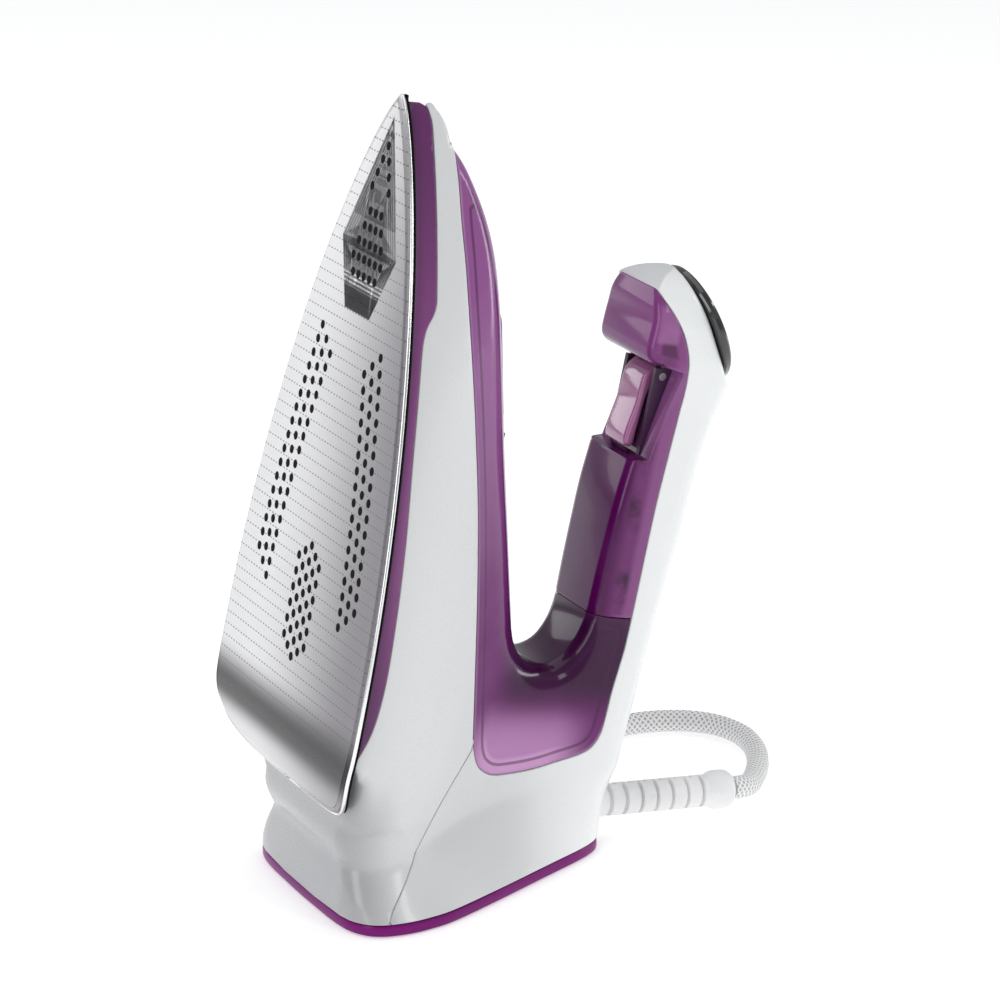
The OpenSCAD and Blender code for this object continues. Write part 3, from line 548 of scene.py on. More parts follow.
class Value:
    """A shader socket that can be used in a Python expression."""

    def __init__(self, paint: "Paint", socket: Any) -> None:
        """Keeps the socket and the tree it belongs to."""
        self.paint = paint
        self.socket = socket

    def _do(self, operation: str, a: Any, b: Any) -> "Value":
        """Adds one Math node on a and b."""
        made = self.paint.node("ShaderNodeMath", {"operation": operation}, {0: a, 1: b})
        return Value(self.paint, made.outputs[0])

    def __add__(self, other: Any) -> "Value":
        """Sum."""
        return self._do("ADD", self, other)

    __radd__ = __add__

    def __sub__(self, other: Any) -> "Value":
        """Difference."""
        return self._do("SUBTRACT", self, other)

    def __rsub__(self, other: Any) -> "Value":
        """Reflected difference."""
        return self._do("SUBTRACT", other, self)

    def __mul__(self, other: Any) -> "Value":
        """Product."""
        return self._do("MULTIPLY", self, other)

    __rmul__ = __mul__

    def __truediv__(self, other: Any) -> "Value":
        """Quotient."""
        return self._do("DIVIDE", self, other)

    def __pow__(self, other: Any) -> "Value":
        """Power."""
        return self._do("POWER", self, other)

    def sin(self) -> "Value":
        """Sine."""
        return self._do("SINE", self, 0.0)

    def size(self) -> "Value":
        """Absolute value."""
        return self._do("ABSOLUTE", self, 0.0)

    def least(self, other: Any) -> "Value":
        """The smaller of the two."""
        return self._do("MINIMUM", self, other)

    def most(self, other: Any) -> "Value":
        """The larger of the two."""
        return self._do("MAXIMUM", self, other)

    def ramp(self, low: float, high: float) -> "Value":
        """Rises smoothly from 0 at low to 1 at high, or falls where high is the smaller."""
        made = self.paint.node("ShaderNodeMapRange", {"interpolation_type": "SMOOTHSTEP"},
                               {"Value": self, "From Min": min(low, high), "From Max": max(low, high)})
        up = Value(self.paint, made.outputs[0])
        return up if high > low else 1 - up


class Paint:
    """Builds one material's nodes."""

    def __init__(self, name: str) -> None:
        """Starts an empty node tree with a Principled shader."""
        self.material = bpy.data.materials.new(name)
        self.material.use_nodes = True
        self.tree = self.material.node_tree
        self.shader = next(n for n in self.tree.nodes if n.type == "BSDF_PRINCIPLED")

    def node(self, kind: str, settings: dict[str, Any], sockets: dict[Any, Any]) -> Any:
        """Adds a node.

        Args:
            kind: the node's type.
            settings: its properties, set first.
            sockets: values or links for its inputs, by name or number.

        Returns:
            The node.
        """
        made = self.tree.nodes.new(kind)
        for key, value in settings.items():
            setattr(made, key, value)
        for key, value in sockets.items():
            self.join(made.inputs[key], value)
        return made

    def join(self, socket: Any, value: Any) -> None:
        """Links a value to a socket, or sets the socket."""
        if isinstance(value, Value):
            self.tree.links.new(value.socket, socket)
        elif isinstance(value, (tuple, list)) and len(value) == 3 and socket.type == "RGBA":
            socket.default_value = (*value, 1.0)
        else:
            socket.default_value = value

    def place(self) -> tuple[Value, Value, Value, Value, Value]:
        """Object coordinates in millimetres: t, y and h of the iron, then x and z of the stand."""
        coords = self.node("ShaderNodeTexCoord", {}, {})
        parts = self.node("ShaderNodeSeparateXYZ", {}, {0: Value(self, coords.outputs["Object"])})
        x = Value(self, parts.outputs[0]) * 1000.0
        y = Value(self, parts.outputs[1]) * 1000.0
        z = Value(self, parts.outputs[2]) * 1000.0
        c, s = math.cos(STAND.lean), math.sin(STAND.lean)
        u, v = x - STAND.x, z - STAND.z
        return u * s + v * c, y, u * c - v * s, x, z

    def noise(self, scale: float, stretch: Triple = (1, 1, 1), detail: float = 3.0) -> Value:
        """Noise on object coordinates, from 0 to 1; scale is per metre."""
        coords = self.node("ShaderNodeTexCoord", {}, {})
        turned = self.node("ShaderNodeMapping", {}, {"Vector": Value(self, coords.outputs["Object"]),
                                                     "Rotation": (0.0, STAND.lean, 0.0), "Scale": stretch})
        made = self.node("ShaderNodeTexNoise", {}, {"Vector": Value(self, turned.outputs[0]), "Scale": scale,
                                                    "Detail": detail})
        return Value(self, made.outputs["Fac"])

    def near(self) -> Value:
        """Distance from the piece's outline in millimetres, stored on its mesh."""
        made = self.node("ShaderNodeAttribute", {"attribute_name": "rim"}, {})
        return Value(self, made.outputs["Fac"])

    def blend(self, share: Any, first: Any, second: Any) -> Value:
        """Mixes two colours."""
        made = self.node("ShaderNodeMix", {"data_type": "RGBA"}, {0: share, 6: first, 7: second})
        return Value(self, made.outputs[2])

    def bump(self, height: Value, strength: float, depth: float) -> Value:
        """A bumped normal; depth is in metres."""
        made = self.node("ShaderNodeBump", {}, {"Strength": strength, "Distance": depth, "Height": height})
        return Value(self, made.outputs[0])

    def finish(self, **sockets: Any) -> bpy.types.Material:
        """Sets the shader's sockets, words joined by underscores, and returns the material."""
        for key, value in sockets.items():
            self.join(self.shader.inputs[key.replace("_", " ")], value)
        return self.material


# ---------------------------------------------------------------- finishes


@dataclass(frozen=True)
class Finish:
    """A plain moulded or metal finish with fine unevenness."""

    name: str
    colour: Triple
    rough: float = 0.35
    metal: float = 0.0
    coat: float = 0.0
    grain: float = 900.0
    shine: float = 0.5

    def make(self) -> bpy.types.Material:
        """Builds the material."""
        p = Paint(self.name)
        n = p.noise(self.grain)
        wide = p.noise(28.0)
        dark = tuple(c * 0.88 for c in self.colour)
        colour = p.blend(wide.ramp(0.3, 0.7), dark, self.colour)
        return p.finish(Base_Color=colour, Roughness=self.rough + (n - 0.5) * 0.12, Metallic=self.metal,
                        Specular_IOR_Level=self.shine, Coat_Weight=self.coat, Coat_Roughness=0.08,
                        Normal=p.bump(n, 0.12, 0.0002))


@dataclass(frozen=True)
class GlossWhite(Finish):
    """Glossy white casing plastic, with painted shade: darker towards the plate, lighter towards the back of
    the handle, and a grey painted shadow on the body beneath the plate's tail.
    """

    def make(self) -> bpy.types.Material:
        """Builds the material."""
        p = Paint(self.name)
        _, _, _, x, z = p.place()
        rim = p.near()
        # Painted shade: darker towards the plate, lighter towards the back of the handle.
        base = p.blend(x.ramp(5, 55), tuple(c * 0.87 for c in self.colour),
                       tuple(c * 1.12 for c in self.colour))
        # Painted shadow: grey on the body low down beneath the plate's tail, by the foot.
        under = x.ramp(-38, -58) * z.ramp(64, 40)
        base = p.blend(under * 0.8, base, (0.30, 0.30, 0.31))
        seam = rim.ramp(0.5, 0.1)
        base = p.blend(seam * 0.4, base, (0.42, 0.43, 0.45))
        fine = p.noise(2600.0, detail=1.0)
        return p.finish(Base_Color=base, Roughness=self.rough + (fine - 0.5) * 0.05, Coat_Weight=self.coat,
                        Coat_Roughness=0.05, Normal=p.bump(fine, 0.03, 0.0001))


@dataclass(frozen=True)
class SatinPlate(Finish):
    """Satin steel with rows of fine dimples across it and brushed lines along it, with painted reflection:
    lighter on the far side, darker on the near side, a dark painted band across the curl and a mid-grey
    painted reflection at the end of the tail.
    """

    def make(self) -> bpy.types.Material:
        """Builds the material."""
        p = Paint(self.name)
        t, y, _, _, _ = p.place()
        row = (t * (2 * math.pi / 4.4)).sin().ramp(0.90, 0.98)
        dot = (y * (2 * math.pi / 2.4)).sin().ramp(-0.2, 0.2)
        flat = t.ramp(-93, -90)
        dimple = row * dot * flat
        brush = p.noise(180.0, (0.6, 1.0, 9.0), 5.0)
        # Painted reflection: lighter on the far side, darker on the near side.
        tone = p.blend(y.ramp(34, -54), (0.74, 0.74, 0.745), (0.22, 0.21, 0.225))
        tone = p.blend(brush * 0.16, tone, (0.42, 0.42, 0.44))
        tone = p.blend(dimple * 0.85, tone, (0.13, 0.13, 0.14))
        # Painted reflection: a dark band across the curl of the tail.
        tone = p.blend(t.ramp(-82, -97) * t.ramp(-112, -101) * 0.95, tone, (0.045, 0.043, 0.046))
        # Painted reflection: a mid-grey tint at the end of the tail.
        tone = p.blend(t.ramp(-103, -112) * 0.25, tone, (0.4, 0.37, 0.4))
        rough = 0.30 + brush * 0.1 - t.ramp(-88, -104) * 0.1
        return p.finish(Base_Color=tone, Metallic=0.95, Roughness=rough,
                        Normal=p.bump(brush * 0.18 - dimple, 0.35, 0.00012))


@dataclass(frozen=True)
class GuideInlay(Finish):
    """Darker steel inlay in the tip, with concentric ribs along its edges."""

    def make(self) -> bpy.types.Material:
        """Builds the material."""
        p = Paint(self.name)
        t, y, _, _, _ = p.place()
        edge = (23 - (t - 78).size() * 0.479) - y.size()
        lower = (23 + (t - 78) * 0.521) - y.size()
        d = edge.least(lower)
        ribs = (d * (2 * math.pi / 1.7)).sin().ramp(-0.3, 0.3) * d.ramp(9.0, 7.6)
        tail = t.ramp(62.4, 61.6)
        bars = (t * (2 * math.pi / 1.5)).sin().ramp(-0.2, 0.2) * t.ramp(67, 66) * t.ramp(61.5, 62.4)
        n = p.noise(500.0, (1.0, 1.0, 6.0))
        base = p.blend(ribs * 0.75, (0.17, 0.17, 0.18), (0.42, 0.42, 0.44))
        base = p.blend(bars, base, (0.82, 0.82, 0.84))
        base = p.blend(tail, base, (0.12, 0.12, 0.13))
        return p.finish(Base_Color=base, Metallic=0.9, Roughness=0.36 + n * 0.12,
                        Normal=p.bump(ribs + bars, 0.5, 0.0003))


@dataclass(frozen=True)
class SatinSkirt(Finish):
    """Satin coloured band round the body's lower edge, with painted light: lighter in the middle, darker
    towards the tip and the tail, and painted shade along its edge by the plate.
    """

    def make(self) -> bpy.types.Material:
        """Builds the material."""
        p = Paint(self.name)
        t, _, h, _, _ = p.place()
        # Painted light: lighter from the tip to the middle, painted shade darker again towards the tail.
        base = p.blend(t.ramp(120, 20), self.colour, (0.235, 0.065, 0.22))
        base = p.blend(t.ramp(0, -90), base, (0.12, 0.024, 0.115))
        # Painted shade along the lower edge by the plate.
        base = p.blend(h.ramp(9.5, 3.5) * 0.45, base, (0.06, 0.012, 0.065))
        n = p.noise(3000.0, detail=1.0)
        return p.finish(Base_Color=base, Roughness=0.33 + (n - 0.5) * 0.1, Specular_IOR_Level=0.3,
                        Coat_Weight=0.12,
                        Coat_Roughness=0.2, Normal=p.bump(n, 0.05, 0.0001))


@dataclass(frozen=True)
class ClearTank(Finish):
    """Clear tinted plastic of the tank: dark inside, with painted light: lighter towards the nose, a pale
    painted band on its back wall and painted highlights along its edges.
    """

    def make(self) -> bpy.types.Material:
        """Builds the material."""
        p = Paint(self.name)
        t, _, h, _, _ = p.place()
        rim = p.near()
        deep, mid, pale = (0.030, 0.0008, 0.029), self.colour, (0.66, 0.36, 0.63)
        # Painted light: lighter towards the nose.
        along = t.ramp(-60, 50)
        base = p.blend(along, mid, (0.27, 0.085, 0.265))
        # Painted light: a pale band on the back wall, brightest by its edges.
        low = t.ramp(-76, -100) * h.ramp(60, 74) * h.ramp(122, 100)
        base = p.blend(low * 0.85, base, pale)
        panel = rim.ramp(5.0, 7.0) * low
        base = p.blend(panel * 0.5, base, (0.34, 0.13, 0.35))
        core = t.ramp(-88, -70) * h.ramp(66, 84) * t.ramp(-30, -50)
        base = p.blend(core * 0.93, base, deep)
        line = rim.ramp(3.2, 3.7) * rim.ramp(4.9, 4.4)
        base = p.blend(line * 0.6, base, (0.05, 0.006, 0.055))
        # Painted highlight along the edges at the back and low end.
        painted_edge_highlight = rim.ramp(1.3, 0.5) * t.ramp(-84, -92).most((h + t * 0.28).ramp(56, 52))
        base = p.blend(painted_edge_highlight * 0.5, base, (0.40, 0.22, 0.41))
        n = p.noise(40.0)
        base = p.blend(n.ramp(0.35, 0.75) * 0.12, base, (0.3, 0.12, 0.31))
        return p.finish(Base_Color=base, Roughness=0.14, Specular_IOR_Level=0.2, Coat_Weight=0.22,
                        Coat_Roughness=0.03,
                        Normal=p.bump(line, -0.25, 0.0004))


@dataclass(frozen=True)
class ClearGrip(Finish):
    """Clear tinted plastic of the handle and head, with the dark works showing through, painted light that
    grows towards the white top, and painted highlights along its edges.
    """

    def make(self) -> bpy.types.Material:
        """Builds the material."""
        p = Paint(self.name)
        t, _, h, _, _ = p.place()
        rim = p.near()
        deep = (0.018, 0.0008, 0.018)
        # Painted light: darker by the hand opening, lighter towards the white top.
        base = p.blend(h.ramp(112.5, 117.5), self.colour, (0.15, 0.024, 0.14))
        works = h.ramp(114, 116) * h.ramp(122.5, 120.5) * p.noise(60.0).ramp(0.45, 0.62)
        base = p.blend(works * 0.8, base, deep)
        # Painted light: lighter still by the white top.
        base = p.blend(h.ramp(119.5, 123.0) * 0.7, base, (0.27, 0.09, 0.255))
        head = t.ramp(46, 58)
        inner = head * rim.ramp(3.5, 5.0)
        base = p.blend(head * 0.9, base, (0.22, 0.05, 0.205))
        base = p.blend(inner * 0.75, base, (0.055, 0.005, 0.052))
        panel = t.ramp(58, 60) * t.ramp(74, 71) * h.ramp(110, 112) * h.ramp(121, 118)
        base = p.blend(panel * 0.75, base, (0.34, 0.13, 0.32))
        # Painted highlight along the edges.
        painted_edge_highlight = rim.ramp(1.4, 0.5) * h.ramp(116, 120)
        base = p.blend(painted_edge_highlight * 0.45, base, (0.26, 0.10, 0.26))
        n = p.noise(55.0)
        base = p.blend(n.ramp(0.4, 0.8) * 0.15, base, (0.16, 0.05, 0.17))
        return p.finish(Base_Color=base, Roughness=0.14, Specular_IOR_Level=0.2, Coat_Weight=0.22,
                        Coat_Roughness=0.03,
                        Normal=p.bump(n, 0.02, 0.0003))


@dataclass(frozen=True)
class Braid(Finish):
    """Braided textile over the cord, which follows the cord's own map."""

    def make(self) -> bpy.types.Material:
        """Builds the material."""
        p = Paint(self.name)
        made = p.node("ShaderNodeUVMap", {"uv_map": "lay"}, {})
        parts = p.node("ShaderNodeSeparateXYZ", {}, {0: Value(p, made.outputs[0])})
        u = Value(p, parts.outputs[0]) * (10 * 2 * math.pi)
        v = Value(p, parts.outputs[1]) * (2 * math.pi / 0.0026)
        left, right = (u + v).sin(), (u - v).sin()
        weave = left.most(right)
        fine = p.noise(3500.0, detail=1.0)
        base = p.blend(weave.ramp(-0.4, 0.7), (0.50, 0.50, 0.51), self.colour)
        return p.finish(Base_Color=base, Roughness=0.72 + fine * 0.1,
                        Normal=p.bump(weave + fine * 0.3, 0.6, 0.0005))


@dataclass(frozen=True)
class BlackDisc(Finish):
    """Deep gloss black with a fine turned grain."""

    def make(self) -> bpy.types.Material:
        """Builds the material."""
        p = Paint(self.name)
        n = p.noise(900.0)
        base = p.blend(n.ramp(0.4, 0.9) * 0.3, self.colour, (0.03, 0.03, 0.034))
        return p.finish(Base_Color=base, Roughness=0.1 + n * 0.06, Coat_Weight=1.0, Coat_Roughness=0.04)


WHITE = GlossWhite("gloss_white", (0.76, 0.775, 0.775), 0.28, coat=0.3)
PLATE = SatinPlate("satin_plate", (0.74, 0.74, 0.76), 0.34, metal=1.0)
RIM = Finish("polished_rim", (0.86, 0.86, 0.87), 0.12, metal=1.0, grain=1500.0)
# Near-black painted shade, put in the steam holes and in the gap between plate and skirt.
PAINTED_SHADE_BLACK = Finish("painted_shade_black", (0.004, 0.004, 0.004), 0.6, shine=0.05)
INLAY = GuideInlay("guide_inlay", (0.26, 0.26, 0.28))
SKIRT = SatinSkirt("satin_skirt", (0.115, 0.02, 0.113))
TRIM = Finish("foot_trim_gloss", (0.19, 0.003, 0.16), 0.3, coat=0.08, grain=1500.0, shine=0.15)
TANK = ClearTank("clear_tank", (0.135, 0.012, 0.130))
GRIP = ClearGrip("clear_grip", (0.085, 0.0015, 0.080))
FLAP = Finish("clear_flap", (0.22, 0.055, 0.22), 0.14, coat=0.4, grain=1200.0)
PINK = Finish("trigger_gloss", (0.38, 0.12, 0.29), 0.14, coat=1.0, grain=1200.0)
DISC = BlackDisc("black_disc", (0.004, 0.004, 0.005))
SLEEVE = Finish("soft_white", (0.88, 0.88, 0.88), 0.42, grain=1800.0)
BRAID = Braid("white_braid", (0.93, 0.93, 0.93))
GREY_PIN = Finish("plated_pin", (0.70, 0.66, 0.55), 0.25, metal=1.0)
STEEL = Finish("works_steel", (0.60, 0.60, 0.62), 0.35, metal=1.0)
CAST = Finish("works_casting", (0.55, 0.55, 0.56), 0.55, metal=0.9, grain=600.0)
BRASS = Finish("works_brass", (0.62, 0.48, 0.24), 0.35, metal=1.0)
DARK = Finish("works_dark", (0.02, 0.02, 0.022), 0.6)
PLUM = Finish("works_plum", (0.05, 0.012, 0.055), 0.45)
CREAM = Finish("works_cream", (0.72, 0.71, 0.66), 0.5)
BOARD = Finish("works_board", (0.03, 0.15, 0.06), 0.45)

WORKS: dict[str, Finish] = {
    "heater_block": CAST, "heating_element": STEEL, "chamber_cover": CAST, "thermostat": BRASS,
    "thermal_fuse": STEEL, "sole_gasket": DARK, "mouth_seal": DARK, "flap_pin": PLUM,
    "drip_valve": CREAM, "pump_tray": PLUM, "pump_body": CREAM, "pump_plunger": CREAM, "water_hose": CREAM,
    "steam_hose": CREAM, "trigger_pin": STEEL, "trigger_spring": STEEL, "control_board": BOARD,
    "dial_bush": CREAM, "terminal_block": CREAM, "cord_clamp": CREAM, "block_screws": STEEL,
    "shell_screws": STEEL, "plug_pins": GREY_PIN,
}


class Wardrobe:
    """Makes each finish once and dresses pieces in it."""

    def __init__(self) -> None:
        """Starts with nothing made."""
        self.made: dict[str, bpy.types.Material] = {}

    def material(self, finish: Finish) -> bpy.types.Material:
        """The finish's material, made when first asked for."""
        if finish.name not in self.made:
            self.made[finish.name] = finish.make()
        return self.made[finish.name]

    def dress(self, obj: bpy.types.Object, finish: Finish, body: Body, slot: str,
              *nodes: str) -> bpy.types.Object:
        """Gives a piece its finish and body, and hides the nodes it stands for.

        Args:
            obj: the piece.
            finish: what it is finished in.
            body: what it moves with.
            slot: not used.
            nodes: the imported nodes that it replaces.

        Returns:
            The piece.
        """
        obj.data.materials.clear()
        obj.data.materials.append(self.material(finish))
        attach(obj, body.value)
        if nodes:
            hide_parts(*nodes)
        LOG.info("%s: %d faces, %s", obj.name, len(obj.data.polygons), finish.name)
        return obj


# ---------------------------------------------------------------- geometry nodes


class Nodes:
    """Builds one geometry tree and bakes it to a plain mesh."""

    def __init__(self, name: str) -> None:
        """Starts a tree with one geometry input and output."""
        self.tree = bpy.data.node_groups.new(name, "GeometryNodeTree")
        face = self.tree.interface
        face.new_socket("Geometry", in_out="INPUT", socket_type="NodeSocketGeometry")
        face.new_socket("Geometry", in_out="OUTPUT", socket_type="NodeSocketGeometry")
        self.start = self.tree.nodes.new("NodeGroupInput")
        self.sizes: dict[str, float] = {}
        self.end = self.tree.nodes.new("NodeGroupOutput")

    def size(self, name: str, value: float) -> str:
        """Adds a named number input and returns its identifier."""
        made = self.tree.interface.new_socket(name, in_out="INPUT", socket_type="NodeSocketFloat")
        self.sizes[made.identifier] = value
        return made.identifier

    def add(self, kind: str, settings: dict[str, Any] | None = None,
            sockets: dict[Any, Any] | None = None) -> Any:
        """Adds a node; a socket's value may be another node's output."""
        made = self.tree.nodes.new(kind)
        for key, value in (settings or {}).items():
            setattr(made, key, value)
        for key, value in (sockets or {}).items():
            if isinstance(value, bpy.types.NodeSocket):
                self.tree.links.new(value, made.inputs[key])
            else:
                made.inputs[key].default_value = value
        return made

    def bake(self, base: bpy.types.Object, last: Any, material: bpy.types.Material, name: str,
             edge: Edge = Edge.PLAIN) -> bpy.types.Object:
        """Ends the tree, runs it on base and keeps the result as a plain mesh.

        Args:
            base: the object that carries the points or line.
            last: the output socket to keep.
            material: what the result is made of.
            name: the new piece's name.
            edge: which edges stay creased.

        Returns:
            The new object.
        """
        real = self.add("GeometryNodeRealizeInstances", sockets={0: last})
        dress = self.add("GeometryNodeSetMaterial",
                         sockets={"Geometry": real.outputs[0], "Material": material})
        self.tree.links.new(dress.outputs[0], self.end.inputs[0])
        mod = base.modifiers.new("make", "NODES")
        mod.node_group = self.tree
        for identifier, value in self.sizes.items():
            mod[identifier] = value
        bpy.context.view_layer.update()
        graph = bpy.context.evaluated_depsgraph_get()
        mesh = bpy.data.meshes.new_from_object(base.evaluated_get(graph))
        base.modifiers.remove(mod)
        bpy.data.objects.remove(base)
        obj = bpy.data.objects.new(name, mesh)
        mesh.name = name
        bpy.context.scene.collection.objects.link(obj)
        shade(obj, edge)
        return obj


def loose_points(name: str, rows: Sequence[Triple]) -> bpy.types.Object:
    """An object of loose points at places on the iron, for a geometry tree to work on."""
    mesh = bpy.data.meshes.new(name)
    mesh.from_pydata([STAND.point(*r) for r in rows], [], [])
    obj = bpy.data.objects.new(name, mesh)
    bpy.context.scene.collection.objects.link(obj)
    return obj


# ---------------------------------------------------------------- side-view lines

TANK_SEAM: list[Pair] = [(119.9, 20.0), (117.7, 21.1), (108, 22.4), (95, 23.7), (82, 25.9), (62, 29.4),
                         (41, 33.9),
                         (16.5, 39.8), (-9, 46.5), (-39, 53.9), (-69.5, 60.8), (-92.7, 66.0)]
TANK_BACK: list[Pair] = [(-92.7, 66.0), (-98.5, 67.8), (-103.6, 71.2), (-106.8, 77.6), (-106.5, 86),
                         (-104.8, 96),
                         (-101.6, 107), (-98.4, 115.8), (-95.2, 120.2), (-90, 122.7), (-82, 123.4),
                         (-73, 123.8),
                         (-57, 125.4)]
GRIP_SEAM: list[Pair] = [(-57, 125.4), (-45.5, 125.6), (-30, 125.7), (-3, 125.9), (19.5, 126.9),
                         (34.8, 127.6),
                         (45, 127.2), (53.5, 125.7), (59.5, 123.4), (64.3, 120.6), (69.8, 116.3),
                         (74.6, 111.9),
                         (77.6, 109.9)]
RIDGE: list[Pair] = [(118.6, 21.6), (113.5, 26.2), (107.5, 30.3), (96, 36.9), (84, 42), (70.5, 46),
                     (56.5, 49.5),
                     (31.5, 55.5), (10, 61), (-27, 71.8), (-52, 79.2)]
OPENING: list[Pair] = [(-52, 79.2), (-57.5, 81.2), (-62, 84.2), (-65.2, 88.5), (-66.4, 93), (-65.5, 99),
                       (-62, 104), (-56, 107.5), (-50, 109.2), (-45.5, 109.7)]
SKIRT_SEAM: list[Pair] = [(132.0, 8.8), (131.2, 11), (126.4, 12.4), (117, 12.3), (101, 12.5), (84.6, 12.9),
                          (70, 13.3), (66.5, 13.3), (63, 12.2), (59.7, 10.2), (56, 8.9), (50, 8.2), (34.5, 8),
                          (10.7, 8.1), (-17, 9.2), (-45, 10), (-67, 10.1), (-83, 8.2), (-95.5, 3.4)]
NOSE: list[Pair] = [(131.9, 12.6), (131.2, 14.0), (128.2, 16.8), (124.5, 18.8), (119.9, 20.0)]
OUTER: list[Pair] = [(43, 147.0), (36, 146.3), (29.5, 145), (17.9, 143.3), (2, 142.4), (-13, 141.9),
                     (-40, 139.8),
                     (-79.6, 138.0), (-100, 137.2), (-109, 137.2), (-119, 139.0)]


def moved(points: Sequence[Pair], t: float, h: float) -> list[Pair]:
    """The same line, moved in the side view."""
    return [(p[0] + t, p[1] + h) for p in points]


# ---------------------------------------------------------------- the sub-assemblies


@dataclass
class Casings:
    """White body, white heel with handle and head, skirt and foot trim."""

    wardrobe: Wardrobe
    gap: float = 0.15
    foot_z: float = 4.55
    foot_front: float = -60.3
    foot_back: float = 60.0
    split: Pair = (-46.0, 4.55)

    def body(self) -> bpy.types.Object:
        """The white body from the nose to the seam with the heel."""
        g = self.gap
        foot_front = STAND.side(self.foot_front, self.foot_z)
        split = STAND.side(self.split[0], self.split[1])
        runs = [
            Run(dense(moved(SKIRT_SEAM[1:], 0, g), 2.5), 0.5),
            Run(straight((-95.5, 3.6), (-104, 10.2)), 1.5, 5.0),
            Run(dense([(-104, 10.2), (-112, 13.3), (-122, 15), (-132, 15.4), STAND.side(-57.0, 24)]), 8.0,
                13.0),
            Run(straight(STAND.side(-57.0, 24), foot_front), 13.0, 0.4),
            Run(straight(foot_front, split, 1.2), 0.4),
            Run(dense([split, (-152, 35.2), (-124, 51.0), (-97, 65.9), (-92.7, 65.8)], 2.5), 0.3),
            Run(dense(list(reversed(moved(TANK_SEAM, 0, -g))), 2.5), 0.5),
            Run(dense(list(reversed(NOSE)), 1.0), 2.0, 0.8),
        ]
        obj = Form(runs, Width.casing, 3.4).mesh("white_body")
        shade(obj, Edge.PLAIN)
        return self.wardrobe.dress(obj, WHITE, Body.IRON, "white_gloss", "body_shell")

    def back(self) -> bpy.types.Object:
        """Heel, outside of the handle and head, as one white form."""
        g = self.gap
        foot_back = STAND.side(self.foot_back, self.foot_z)
        split = STAND.side(self.split[0] + 0.3, self.split[1])
        runs = [
            Run(dense([split, (-151.7, 35.6), (-123.7, 51.4), (-96.7, 66.3), (-93.2, 66.4)], 2.5), 0.3),
            Run(dense(moved(TANK_BACK, -0.1, g), 2.0), 0.5),
            Run(dense(moved(GRIP_SEAM, 0.05, g), 2.0), 0.5),
            Run(dense([(77.65, 110.1), (79.5, 111.6), (82.4, 115.6), (84.2, 120.5), (84.4, 122.4)], 1.2),
                1.0, 2.5),
            Run(straight((84.4, 122.4), (43, 147.0), 2.0), 2.5),
            Run(dense(OUTER, 2.5), 7.0, 11.0),
            Run(straight((-119, 139.0), foot_back, 2.5), 11.0, 0.5),
            Run(straight(foot_back, split, 2.5), 0.4),
        ]
        obj = Form(runs, Width.back, 3.2).mesh("white_heel_and_handle")
        shade(obj, Edge.PLAIN)
        return self.wardrobe.dress(obj, WHITE, Body.IRON, "white_gloss", "heel_shell", "handle_shell")

    def skirt(self) -> bpy.types.Object:
        """The satin band between soleplate and body."""
        runs = [
            Run(dense(moved(SKIRT_SEAM, -0.6, -self.gap), 2.5), 0.5),
            Run([(-96.1, 3.25)], 0.3),
            Run(straight((-97.5, 2.9), (-70, 3.7)) + straight((-67, 3.7), (131.2, 3.7)), 0.4),
            Run(straight((131.2, 3.7), (131.4, 8.6)), 0.4),
        ]

        def width(t: np.ndarray, h: np.ndarray) -> np.ndarray:
            """The skirt stands a little proud of the body."""
            return Width.casing(t, np.maximum(h, 5.0)) + 0.35

        obj = Form(runs, width, 3.0).mesh("skirt_band")
        return self.wardrobe.dress(obj, SKIRT, Body.IRON, "purple_satin", "skirt")

    def trim(self) -> bpy.types.Object:
        """The coloured resting face."""
        xs = np.concatenate([np.linspace(-60.4, -54, 16), np.linspace(-53, -36, 12), np.linspace(-34, 54, 26),
                             np.linspace(55, 60.2, 8)])
        near = [(float(x), -float(Width.foot(x))) for x in xs]
        plan = near + [(x, -y) for x, y in reversed(near)]
        ring = [(0.9, 0.0), (0.25, 0.35), (0.0, 1.0), (0.0, 3.5), (0.35, 4.1), (1.0, 4.2)]
        points = []
        for inset, z in ring:
            for x, y in plan:
                f = 1 - inset / max(math.hypot(x, y), 20.0)
                points.append(Vector((x * f, y * f, z)) * MM)
        n = len(plan)
        faces = [[i * n + k, i * n + (k + 1) % n, (i + 1) * n + (k + 1) % n, (i + 1) * n + k]
                 for i in range(len(ring) - 1) for k in range(n)]
        faces += [list(range(n)), [(len(ring) - 1) * n + k for k in range(n)]]
        obj = make_object("foot_trim_band", points, faces, Edge.PLAIN)
        return self.wardrobe.dress(obj, TRIM, Body.IRON, "purple_trim", "foot_trim")


    def shield(self, frame: dict) -> bpy.types.Object:
        """The inner heat shield, from its node, kept inside the white body."""
        obj = copy_of(frame, "heat_shield", "inner_heat_shield", Edge.CRISP)
        for v in obj.data.vertices:
            t, h = STAND.side(v.co.x / MM, v.co.z / MM)
            most = max(float(Width.casing(np.array([t]), np.array([h]))[0]) - 3.0, 1.0) * MM
            v.co.y = max(-most, min(most, v.co.y))
        return self.wardrobe.dress(obj, DARK, Body.IRON, "dark_plate", "heat_shield")


